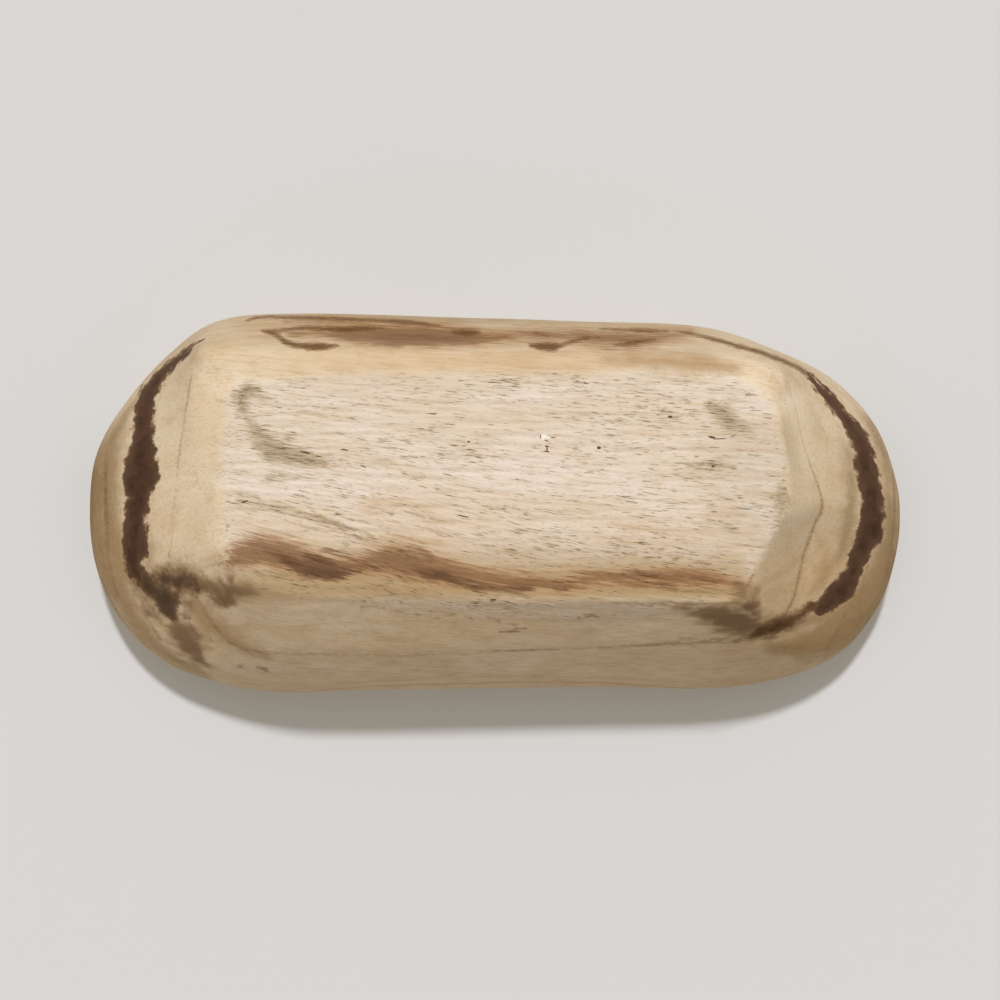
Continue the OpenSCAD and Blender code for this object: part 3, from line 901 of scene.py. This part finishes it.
# A light, coarse hardwood, sawn and scraped and left bare: cream where sawn, honey where scraped.
wood = bpy.data.materials.new("raw_scraped_hardwood")
tree = emptied_tree(wood)
field = {}
for name in fields:
    field[name] = add(tree, "Attribute", attribute_name=name).outputs["Fac"]
place = add(tree, "TexCoord").outputs["Object"]
axes = add(tree, "SeparateXYZ", {"Vector": place}).outputs
in_fibre = add(tree, "CombineXYZ", {"X": axes["X"], "Y": field["fibre"], "Z": axes["Z"]})

# %% The patterns of the wood: length along the fibres and width across them in mm, and how detailed
# Single fibres and pores are 0.1 to 0.2 mm wide, which is too fine to show in the render, so "fuzz"
# and "tear", which stand for them, are drawn two to four times as coarse.
PATTERNS = {
    "slow": (60, 16, 2.0), "grain": (18, 0.9, 3.0), "fuzz": (3.0, 0.45, 2.0), "tear": (3.6, 0.42, 2.0),
    "zone": (34, 11, 2.0), "speck": (1.3, 0.7, 2.0), "lobes": (5.0, 3.0, 0.5), "teeth": (1.8, 1.0, 1.0),
    "ragged": (11, 1.2, 3.0), "threads": (14, 0.6, 2.0), "cloud": (9, 5, 3.0), "bend": (34, 12, 2.0),
}
noise = {}
for seed, (name, (length_mm, width_mm, detail)) in enumerate(PATTERNS.items()):
    stretch = (1 / (length_mm * MM), 1 / (width_mm * MM), 1 / (width_mm * MM))
    shifted = (7.3 * seed, 3.1 * seed, 5.7 * seed)
    drawn_out = add(tree, "Mapping", {"Vector": in_fibre, "Location": shifted, "Scale": stretch})
    pattern = add(tree, "TexNoise",
                  {"Vector": drawn_out, "Scale": 1.0, "Detail": detail, "Roughness": 0.6})
    noise[name] = pattern.outputs["Fac"]
print("patterns in the wood:", ", ".join(noise))

# %% Ground: cream where it is sawn, honey where it is scraped, with a ragged border
SAWN_WOOD, SCRAPED_WOOD = tone("#e5d7c7"), tone("#ead7bb")
BORDER_PUSH = 0.9
SOFT, COLOUR = {"interpolation_type": "SMOOTHSTEP"}, {"data_type": "RGBA"}
TINT = {"data_type": "RGBA", "blend_type": "MULTIPLY"}
border = add(tree, "Math", {0: noise["lobes"], 1: BORDER_PUSH, 2: field["sawn"]},
             operation="MULTIPLY_ADD")
sawn_here = add(tree, "MapRange", {"Value": border, "From Min": 0.5, "From Max": 1.4}, **SOFT)
ground = add(tree, "Mix", {"Factor": sawn_here, "A": SCRAPED_WOOD, "B": SAWN_WOOD}, **COLOUR)

# %% Slow changes of tone, fine grain along the fibres, and darker end grain, partly painted shade at the ends
SLOW_SHADE, GRAIN_SHADE, END_SHADE = tone("#f7f2ea"), tone("#ece3d3"), tone("#d6c2a6")
slow = add(tree, "MapRange", {"Value": noise["slow"], "From Min": 0.68, "From Max": 0.38}, **SOFT)
grain = add(tree, "MapRange",
            {"Value": noise["grain"], "From Min": 0.45, "From Max": 0.75, "To Max": 0.8}, **SOFT)
for share, shade in ((slow, SLOW_SHADE), (grain, GRAIN_SHADE), (field["end"], END_SHADE)):
    ground = add(tree, "Mix", {"Factor": share, "A": ground, "B": shade}, **TINT)

# %% Browned ends and painted shade: the wood outside the dark rings is browner at the ends, and some strokes are painted shade on the right wall and along the back edge
BROWNED_AND_SHADE_TONE = tone("#c0b39f")
BROWN_PUSH_MM, BROWN_FROM_MM, BROWN_FULL_MM = 5.0, 0.5, 6.5
browned_and_shade_edge = add(tree, "Math", {0: noise["cloud"], 1: BROWN_PUSH_MM * MM, 2: field["browned_and_shade"]},
                 operation="MULTIPLY_ADD")
browned_and_shade_share = add(tree, "MapRange", {
    "Value": browned_and_shade_edge, "From Min": BROWN_FROM_MM * MM, "From Max": BROWN_FULL_MM * MM}, **SOFT)
ground = add(tree, "Mix", {"Factor": browned_and_shade_share, "A": ground, "B": BROWNED_AND_SHADE_TONE}, **TINT)

# %% Painted light on the facet at the right end, and the painted shade
PAINTED_LIGHT_TONE, PAINTED_SHADE_TONE = tone("#fdebcf"), tone("#bfb397")
PAINTED_LIGHT_COVER = 0.55
# Painted light on the right facet, as far as its cover says.
painted_light_share = add(tree, "Math", {0: field["pale"], 1: PAINTED_LIGHT_COVER}, operation="MULTIPLY")
ground = add(tree, "Mix", {"Factor": painted_light_share, "A": ground, "B": PAINTED_LIGHT_TONE}, **COLOUR)
ground = add(tree, "Mix", {"Factor": field["painted_shade"], "A": ground, "B": PAINTED_SHADE_TONE}, **TINT)

# %% Lines between the growth layers, fainter on the sawn face
LAYER_MM, RIPPLE_MM = 5.0, 3.0
LAYER_SHADE = tone("#d9c3a3")
rippled = add(tree, "Math", {0: noise["bend"], 1: RIPPLE_MM * MM, 2: field["layer"]},
              operation="MULTIPLY_ADD")
layers = add(tree, "TexNoise",
             {"W": rippled, "Scale": 1 / (LAYER_MM * MM), "Detail": 3.0, "Roughness": 0.6},
             noise_dimensions="1D").outputs["Fac"]
scraped_here = add(tree, "MapRange", {"Value": sawn_here, "To Min": 0.6, "To Max": 0.1})
late_wood = add(tree, "MapRange",
                {"Value": layers, "From Min": 0.56, "From Max": 0.72, "To Max": scraped_here}, **SOFT)
ground = add(tree, "Mix", {"Factor": late_wood, "A": ground, "B": LAYER_SHADE}, **TINT)

# %% Small pits and scraper dust
PIT_SHADE = tone("#dccbb0")
pits = add(tree, "MapRange",
           {"Value": noise["speck"], "From Min": 0.54, "From Max": 0.74, "To Max": 0.3}, **SOFT)
ground = add(tree, "Mix", {"Factor": pits, "A": ground, "B": PIT_SHADE}, **TINT)

# %% [markdown]
# Every stain is laid on in the same way. Its distance field says how deep inside the mark a point
# lies, and noise drawn out along the fibres pushes that edge to and fro, because the dark sap ran
# further along some fibres than along others. A colour ramp then goes from the pale rim of the stain
# to its core, and the ramp's own alpha says how much of the wood below still shows through.

# %% Lay a stain over the ground
def stain(ground, reach, push_mm, ramp_mm):
    """Ground under a stain: patterns push its edge, and a ramp gives depth in mm, colour and cover."""
    # Noise keeps within about a quarter of its middle, 0.5, so four times that reaches a whole push.
    for pattern, push in push_mm.items():
        shift = add(tree, "Math", {0: noise[pattern], 1: 4 * push * MM, 2: -2 * push * MM},
                    operation="MULTIPLY_ADD")
        reach = add(tree, "Math", {0: reach, 1: shift}, operation="ADD")
    first, last = ramp_mm[0][0], ramp_mm[-1][0]
    share = add(tree, "MapRange", {"Value": reach, "From Min": first * MM, "From Max": last * MM})
    ramp = add(tree, "ValToRGB", {"Fac": share})
    stops = ramp.color_ramp.elements
    while len(stops) < len(ramp_mm):
        stops.new(1.0)
    for stop, (depth_mm, code, cover) in zip(stops, ramp_mm):
        stop.position = (depth_mm - first) / (last - first)
        stop.color = tone(code)[:3] + (cover,)
    return add(tree, "Mix",
               {"Factor": ramp.outputs["Alpha"], "A": ground, "B": ramp.outputs["Color"]}, **COLOUR)


# %% Tan patches, partly painted shade, and grey weathering: how far each pattern pushes the edge in mm, and the ramp
STAINS = {
    "tan_and_shade": ({"threads": 0.25, "cloud": 0.3}, [(0.0, "#cba577", 0.0), (1.0, "#bd9464", 0.5)]),
    "smear": (
        {"tear": 0.45, "cloud": 0.3},
        [(0.05, "#c2b08d", 0.0), (0.55, "#ac9771", 0.5), (1.15, "#917c5a", 0.78)]),
}

# %% Brown streaks along the base and the back, their darker cores, lines, and the tail of the knot
STAINS |= {
    "streak": (
        {"ragged": 1.5, "threads": 1.4, "fuzz": 0.8},
        [(-3.2, "#c4a57a", 0.0), (-0.9, "#b39066", 0.35), (0.5, "#a1774f", 0.72),
         (2.0, "#8c6443", 0.88), (4.5, "#84603f", 0.92)]),
    "back": (
        {"ragged": 0.8, "threads": 0.6, "lobes": 0.5},
        [(-1.8, "#c49a68", 0.0), (-0.3, "#a87e52", 0.45), (0.8, "#8c643f", 0.82), (3.0, "#7b5436", 0.92)]),
    "core": (
        {"ragged": 0.7, "threads": 0.8, "fuzz": 0.5},
        [(-0.9, "#8a6544", 0.0), (0.0, "#79563a", 0.55), (0.9, "#684a31", 0.88), (3.0, "#60432d", 0.94)]),
    "lines": (
        {"teeth": 0.3, "threads": 0.25},
        [(-0.5, "#9c7448", 0.0), (0.0, "#80572f", 0.6), (0.6, "#68441f", 0.92)]),
    "thin_and_crease_shade": ({"teeth": 0.3}, [(-0.45, "#a58763", 0.0), (0.05, "#93734d", 0.4), (0.55, "#80613f", 0.8)]),
    "tail": (
        {"lobes": 1.2, "cloud": 1.4},
        [(-2.0, "#ab8f6b", 0.0), (-0.2, "#967752", 0.4), (1.4, "#846546", 0.82), (3.0, "#806143", 0.92)]),
}

# %% The dark bands, whose edge is toothed by the open fibre ends, then branches and knots
STAINS |= {
    "dark": (
        {"lobes": 0.8, "teeth": 0.4},
        [(-0.45, "#a58460", 0.0), (0.0, "#7c5c3e", 0.8), (0.45, "#5d422e", 0.98), (2.2, "#563b29", 1.0),
         (4.5, "#4d3323", 1.0)]),
    "link": (
        {"lobes": 0.5, "ragged": 0.4, "teeth": 0.4},
        [(-1.2, "#a0835c", 0.0), (-0.2, "#82633e", 0.55), (0.8, "#67472a", 0.9), (2.2, "#543619", 0.96)]),
    "branch": (
        {"lobes": 0.9, "teeth": 0.4, "cloud": 0.7},
        [(-1.7, "#ad9069", 0.0), (-0.1, "#987852", 0.5), (1.2, "#8a6c4b", 0.86), (3.4, "#7d5f41", 0.93)]),
    "knot": (
        {"lobes": 1.2, "teeth": 0.5},
        [(-0.9, "#8c6b49", 0.0), (0.2, "#6d5238", 0.75), (1.4, "#5a442f", 0.95), (3.2, "#4f3c29", 0.98)]),
}
for name, (push_mm, ramp_mm) in STAINS.items():
    ground = stain(ground, field[name], push_mm, ramp_mm)
print("stains, from the lowest up:", ", ".join(STAINS))

# %% The bands are mottled, browner in some places and nearly black in others
MOTTLE_SHADE = tone("#d3ccba")
MOTTLE_FROM, MOTTLE_FULL = 0.5 * MM, 2 * MM
in_band = add(tree, "MapRange", {"Value": field["dark"], "From Min": MOTTLE_FROM, "From Max": MOTTLE_FULL})
mottle = add(tree, "MapRange",
             {"Value": noise["cloud"], "From Min": 0.42, "From Max": 0.66, "To Max": in_band}, **SOFT)
ground = add(tree, "Mix", {"Factor": mottle, "A": ground, "B": MOTTLE_SHADE}, **TINT)

# %% Painted shade: a thin dark line in the crease that the adze left
PAINTED_CREASE_SHADE = tone("#bca482")
specked = add(tree, "Math", {0: field["crease"], 1: noise["speck"]}, operation="MULTIPLY")
painted_crease_shade = add(tree, "MapRange",
                  {"Value": specked, "From Min": 0.14, "From Max": 0.6, "To Max": 0.85}, **SOFT)
ground = add(tree, "Mix", {"Factor": painted_crease_shade, "A": ground, "B": PAINTED_CREASE_SHADE}, **TINT)

# %% Open pores: thin dark tears where the saw pulled the fibres out, through wood and stain alike; their dark is painted shade in the pores
PORE_SHADE = tone("#94836a")
pore_need = add(tree, "MapRange",
                {"Value": field["smear"], "From Max": MM, "To Min": 0.06, "To Max": -0.03})
pore_zone = add(tree, "MapRange", {
    "Value": noise["zone"], "From Min": 0.36, "From Max": 0.64, "To Min": pore_need, "To Max": -0.05})
pore_height = add(tree, "Math", {0: noise["tear"], 1: pore_zone}, operation="SUBTRACT")
pores = add(tree, "MapRange",
            {"Value": pore_height, "From Min": 0.56, "From Max": 0.82, "To Max": sawn_here}, **SOFT)
ground = add(tree, "Mix", {"Factor": pores, "A": ground, "B": PORE_SHADE}, **TINT)

# %% Dull surface and torn fibres
SCRAPED_ROUGH, SAWN_ROUGH = 0.74, 0.9
SCRAPED_FUZZ, SAWN_FUZZ, PORE_DROP = 0.2, 0.8, -0.7
FIBRE_RELIEF_MM = 0.10
roughness = add(tree, "MapRange", {"Value": sawn_here, "To Min": SCRAPED_ROUGH, "To Max": SAWN_ROUGH})
fibre_share = add(tree, "MapRange", {"Value": sawn_here, "To Min": SCRAPED_FUZZ, "To Max": SAWN_FUZZ})
fuzz = add(tree, "Math", {0: noise["fuzz"], 1: fibre_share}, operation="MULTIPLY")
fibres = add(tree, "Math", {0: pores, 1: PORE_DROP, 2: fuzz}, operation="MULTIPLY_ADD")
bump = add(tree, "Bump", {"Strength": 1.0, "Distance": FIBRE_RELIEF_MM * MM, "Height": fibres})
surface = add(tree, "BsdfPrincipled", {
    "Base Color": ground, "Roughness": roughness, "IOR": 1.45, "Specular IOR Level": 0.28, "Normal": bump})
add(tree, "OutputMaterial", {"Surface": surface})
bowl_mesh.materials.append(wood)
print("nodes in the wood:", len(tree.nodes))

# %% [markdown]
# Where the saw ran, the open pores of the wood show as short dark slits, whose dark is painted shade
# in the pores, and torn fibres stand up as low hairs. Both are far too many to place by hand, so a tree
# of Geometry Nodes scatters one tiny lens over the sawn face, turns it along the fibres and into the
# surface, and gives each its own length. The same tree makes slits and hairs, with other sizes and
# another seed. The hairs are the wood itself: they carry the fields of the spot they grow on, and so
# they wear its material.

# %% Three finishes for the small marks
DRIFT_LENGTH_MM, DRIFT_WIDTH_MM = 4.0, 0.8


def small_finish(name, code, shade_code, rough):
    """A finish whose tone drifts between two colours from one small mark to the next."""
    finish = bpy.data.materials.new(name)
    tree = emptied_tree(finish)
    across = 1 / (DRIFT_WIDTH_MM * MM)
    place = add(tree, "TexCoord").outputs["Object"]
    at = add(tree, "Mapping", {"Vector": place, "Scale": (1 / (DRIFT_LENGTH_MM * MM), across, across)})
    drift = add(tree, "TexNoise", {"Vector": at, "Scale": 1.0, "Detail": 2.0}).outputs["Fac"]
    share = add(tree, "MapRange", {"Value": drift, "From Min": 0.35, "From Max": 0.65})
    colour = add(tree, "Mix", {"Factor": share, "A": tone(code), "B": tone(shade_code)}, **COLOUR)
    bump = add(tree, "Bump", {"Strength": 0.5, "Distance": 0.03 * MM, "Height": drift})
    shader = add(tree, "BsdfPrincipled", {"Base Color": colour, "Roughness": rough, "Normal": bump})
    add(tree, "OutputMaterial", {"Surface": shader})
    return finish


# Open pores and deep nicks are dull, and painted dark with the shade inside them, the nicks darker still;
# a fresh chip is nearly white.
open_pore = small_finish("painted_shade_open_pores", "#c6b497", "#9a876a", 0.95)
deep_nick = small_finish("painted_shade_nicks", "#7a5d40", "#543d27", 0.95)
fresh_chip = small_finish("fresh_white_chip", "#fbf3e8", "#e6dccd", 0.85)

# %% The tree that scatters them: where and how thickly
scatter = bpy.data.node_groups.new("scatter_along_fibres", "GeometryNodeTree")
SOCKETS = {"Geometry": "Geometry", "Per square metre": "Float", "Length": "Float", "Width": "Float",
           "Depth": "Float", "Seed": "Int", "Material": "Material"}
for name, kind in SOCKETS.items():
    scatter.interface.new_socket(name=name, in_out="INPUT", socket_type="NodeSocket" + kind)
scatter.interface.new_socket(name="Geometry", in_out="OUTPUT", socket_type="NodeSocketGeometry")
given = add(scatter, "NodeGroupInput").outputs
here = add(scatter, "GeometryNodeInputNamedAttribute", {"Name": "slits"}, data_type="FLOAT")
density = add(scatter, "Math", {0: here, 1: given["Per square metre"]}, operation="MULTIPLY")
spots = add(scatter, "GeometryNodeDistributePointsOnFaces",
            {"Mesh": given["Geometry"], "Density": density, "Seed": given["Seed"]})

# %% The tree goes on: each lens is turned along the fibres and into the surface, and sized
slope_here = add(scatter, "GeometryNodeInputNamedAttribute", {"Name": "slope"}, data_type="FLOAT")
sway = add(scatter, "FunctionNodeRandomValue", {"Min": -0.06, "Max": 0.06, "Seed": given["Seed"]},
           data_type="FLOAT")
lean = add(scatter, "Math", {0: slope_here, 1: sway}, operation="ADD")
along = add(scatter, "CombineXYZ", {"X": 1.0, "Y": lean, "Z": 0.0})
flat = add(scatter, "FunctionNodeAlignRotationToVector", {"Vector": along}, axis="X")
upright = add(scatter, "FunctionNodeAlignRotationToVector",
              {"Rotation": flat, "Vector": spots.outputs["Normal"]}, axis="Z", pivot_axis="X")
sizes = add(scatter, "CombineXYZ", {"X": given["Length"], "Y": given["Width"], "Z": given["Depth"]})
vary = add(scatter, "FunctionNodeRandomValue",
           {"Min": (0.25, 0.35, 0.4), "Max": (0.75, 0.65, 0.6), "Seed": given["Seed"]},
           data_type="FLOAT_VECTOR")
scaled = add(scatter, "VectorMath", {0: sizes, 1: vary}, operation="MULTIPLY")
lens = add(scatter, "GeometryNodeMeshIcoSphere", {"Radius": 1.0, "Subdivisions": 1})
placed = add(scatter, "GeometryNodeInstanceOnPoints",
             {"Points": spots, "Instance": lens, "Rotation": upright, "Scale": scaled})
plain = add(scatter, "GeometryNodeRealizeInstances", {"Geometry": placed})
dressed = add(scatter, "GeometryNodeSetMaterial", {"Geometry": plain, "Material": given["Material"]})
add(scatter, "NodeGroupOutput", {"Geometry": dressed})
print("nodes in the scatter tree:", len(scatter.nodes))

# %% Where the slits are: on the sawn face, thicker in some patches and in the grey, none in the streak
FULLY_SAWN, SAWN_HEIGHT_MM = 0.85, 1.0
THINNEST, THICKEST, GREY_EXTRA = 0.05, 1.4, 2.5
STREAK_CLEAR_MM = 0.5
patchy = 0.5 + 0.5 * waves(points, (30, 12, 30), 20, 7)
slits = np.clip(patchy, THINNEST, THICKEST) + GREY_EXTRA * smear
slits *= (sawn > FULLY_SAWN) & (points[:, 2] < SAWN_HEIGHT_MM)
slits *= np.clip(-marks_mm["streak"] - STREAK_CLEAR_MM, 0, 1)
keep_on_mesh("slits", slits)


# %% Scatter slits and hairs, and keep the results as plain meshes
def scattered(name, inputs):
    """A plain mesh object with what the tree scatters over the bowl."""
    carrier = new_object(name + "_carrier", bowl_mesh)
    modifier = carrier.modifiers.new("scatter", "NODES")
    modifier.node_group = scatter
    for socket in scatter.interface.items_tree:
        if socket.in_out == "INPUT" and socket.name in inputs:
            modifier[socket.identifier] = inputs[socket.name]
    live = carrier.evaluated_get(bpy.context.evaluated_depsgraph_get())
    mesh = bpy.data.meshes.new_from_object(live)
    bpy.data.objects.remove(carrier)
    mesh.name = name
    print(name, "faces:", len(mesh.polygons))
    return new_object(name, mesh)


SLITS = {"Per square metre": 22000.0, "Length": 3.8 * MM, "Width": 0.34 * MM, "Depth": 0.16 * MM,
         "Seed": 4, "Material": open_pore}
HAIRS = {"Per square metre": 24000.0, "Length": 6.0 * MM, "Width": 0.26 * MM, "Depth": 0.26 * MM,
         "Seed": 9, "Material": wood}
open_pores = scattered("open_pores", SLITS)
torn_fibres = scattered("torn_fibres", HAIRS)

# %% [markdown]
# A few marks on the base are one of a kind: a pale chip with a nick beside it, a pinhole, a short
# crack and some scratches. They are small lenses set into the surface where the photograph has them.

# %% Single marks: pixels across and down, length and width in mm, slant in degrees
# The dark marks are painted shade in the nicks, pinhole, crack and scratches.
DARK_MARKS_PX = [
    (547.5, 448, 2, 0.45, 84), (548, 445.4, 1.5, 0.4, 3), (547, 450.6, 1.6, 0.45, 8),
    (539, 436, 1.9, 0.35, 80), (546, 441.6, 1.6, 0.35, 20), (554, 437.5, 1.9, 0.35, -10),
    (599.5, 447.5, 1.3, 1, 0), (712.5, 437, 2.6, 0.7, 14), (721, 438.6, 4.2, 0.32, -2),
    (733, 436.4, 1.8, 0.2, -24), (714, 465.5, 1.2, 0.8, 0), (671, 416.5, 1.5, 0.8, 0),
    (245, 501, 2.2, 0.5, -15), (304, 452, 3.4, 0.5, 9), (282, 449, 3.2, 0.3, 12),
    (318, 457, 3, 0.35, 14), (345, 449, 2.4, 0.4, 12), (362, 466, 3.2, 0.4, 25),
    (469, 442, 1, 0.5, 0), (433, 414, 2.6, 0.35, 5), (463, 516, 3.6, 0.35, 12),
    (492, 600.5, 2, 0.5, 0),
]
WHITE_CHIP_PX = [(543.5, 435.5, 2, 2.6, 20), (546, 438, 1.8, 1.6, -30), (542.5, 438, 1.2, 1.6, 0)]
MARK_DEPTH = 0.14


def lens_marks(name, marks, finish):
    """Flat lenses on the skin at the given pixels, joined into one piece."""
    spots = nearest_on_skin([mark[:2] for mark in marks])
    work = bmesh.new()
    for (_, _, length, width, slant), spot in zip(marks, spots):
        shape = Matrix.Diagonal((length / 2 * MM, width / 2 * MM, MARK_DEPTH * MM, 1))
        turned = Matrix.Rotation(math.radians(slant), 4, "Z") @ shape
        bmesh.ops.create_icosphere(
            work, subdivisions=2, radius=1, matrix=Matrix.Translation(Vector(spot * MM)) @ turned)
    mesh = bpy.data.meshes.new(name)
    work.to_mesh(mesh)
    work.free()
    mesh.materials.append(finish)
    print(name, "faces:", len(mesh.polygons))
    return new_object(name, mesh)


nicks = lens_marks("nicks", DARK_MARKS_PX, deep_nick)
white_chip = lens_marks("white_chip", WHITE_CHIP_PX, fresh_chip)

# %% [markdown]
# The stage is a plain pale floor under the bowl. The photograph looks up at the base, so a second
# panel lies against the rim, with a hole where the bowl stands, and takes the shadow there. Each panel
# shows only its front to the camera. Lamps shine through both, so that neither darkens the bowl, but
# the second panel keeps the sky off the wall beside it, as solid ground does.

# %% Floor and backdrop
STAGE_HALF = 6.0
FLOOR_Z, BACKDROP_Z = -0.0003, bowl_h * MM + 0.0002
SEEN_PANEL, SHADED_PANEL = tone("#d3d2d0"), tone("#8f8a84")

far_square = [(x * STAGE_HALF, y * STAGE_HALF, FLOOR_Z) for x, y in ((-1, -1), (1, -1), (1, 1), (-1, 1))]
hole = inset(rim_line, RIM_WALL / 2) * MM
far_ring = hole / np.linalg.norm(hole, axis=1)[:, None] * STAGE_HALF
round_hole = ring(np.concatenate([hole, far_ring]), BACKDROP_Z).tolist()
spoke = np.arange(strokes)
next_spoke = (spoke + 1) % strokes
hole_faces = np.column_stack([spoke, next_spoke, next_spoke + strokes, spoke + strokes]).tolist()
panels = {"floor": (far_square, [(0, 1, 2, 3)], 0.0), "backdrop": (round_hole, hole_faces, 1.0)}
for name, (corners, panel_faces, shades) in panels.items():
    paint = bpy.data.materials.new("matt_pale_panel_" + name)
    paint_tree = emptied_tree(paint)
    ray = add(paint_tree, "LightPath").outputs
    behind = add(paint_tree, "NewGeometry").outputs["Backfacing"]
    shading = add(paint_tree, "Math", {0: ray["Is Diffuse Ray"], 1: shades}, operation="MULTIPLY")
    shown = add(paint_tree, "Math", {0: ray["Is Camera Ray"], 1: shading}, operation="ADD")
    shown = add(paint_tree, "Math", {0: shown, 1: behind}, operation="SUBTRACT", use_clamp=True)
    colour = add(paint_tree, "Mix", {"Factor": shading, "A": SEEN_PANEL, "B": SHADED_PANEL}, **COLOUR)
    clear = add(paint_tree, "BsdfTransparent")
    panel = add(paint_tree, "BsdfDiffuse", {"Color": colour})
    either = add(paint_tree, "MixShader", {0: shown, 1: clear, 2: panel})
    add(paint_tree, "OutputMaterial", {"Surface": either})
    panel_mesh = bpy.data.meshes.new(name)
    panel_mesh.from_pydata(corners, [], panel_faces)
    panel_mesh.materials.append(paint)
    stage = new_object(name, panel_mesh)
    print(name, "faces:", len(panel_faces), "first faces:", panel_mesh.polygons[0].normal[:])

# %% [markdown]
# In the photograph a soft light comes from the top of the picture and shines down on the base. In the
# bowl's own frame that is a lamp below it. A second lamp above serves the other views, almost upright so
# that it hardly touches the walls. The sky is dimmer towards the horizon, as the light in a room is.

# %% Lamps
KEY_TO, KEY_POWER = (0.0, -0.515, -0.857), 2.05
TOP_TO, TOP_POWER = (-0.12, -0.16, 0.98), 2.0
LAMP_TONE, LAMP_ANGLE = (0.99, 1.02, 1.09), 0.09
for name, towards, power in (("key", KEY_TO, KEY_POWER), ("top", TOP_TO, TOP_POWER)):
    lamp = bpy.data.lights.new(name, "SUN")
    lamp.energy = power
    lamp.angle = LAMP_ANGLE
    lamp.color = LAMP_TONE
    new_object(name, lamp).rotation_euler = Vector(towards).to_track_quat("Z", "Y").to_euler()
print("lamps:", len(bpy.data.lights))

# %% Sky
SKY_HORIZON, SKY_OVERHEAD = 0.30, 0.62
SKY_TONE, SEEN_TONE = tone("#fff9ee"), tone("#e2e0de")
sky = bpy.data.worlds.new("soft_sky")
bpy.context.scene.world = sky
sky_tree = emptied_tree(sky)
looking = add(sky_tree, "TexCoord").outputs["Generated"]
upwards = add(sky_tree, "SeparateXYZ", {"Vector": looking}).outputs["Z"]
height = add(sky_tree, "Math", {0: upwards}, operation="ABSOLUTE")
strength = add(sky_tree, "MapRange", {"Value": height, "To Min": SKY_HORIZON, "To Max": SKY_OVERHEAD})
lighting = add(sky_tree, "Background", {"Color": SKY_TONE, "Strength": strength})
seen = add(sky_tree, "Background", {"Color": SEEN_TONE, "Strength": 1.0})
camera_ray = add(sky_tree, "LightPath").outputs["Is Camera Ray"]
either = add(sky_tree, "MixShader", {0: camera_ray, 1: lighting, 2: seen})
add(sky_tree, "OutputWorld", {"Surface": either})
bpy.context.scene.view_settings.view_transform = "Standard"

# %% Tie the pieces to the frame and finish
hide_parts("bowl")
for piece in (bowl, open_pores, torn_fibres, nicks, white_chip):
    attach(piece, "root")
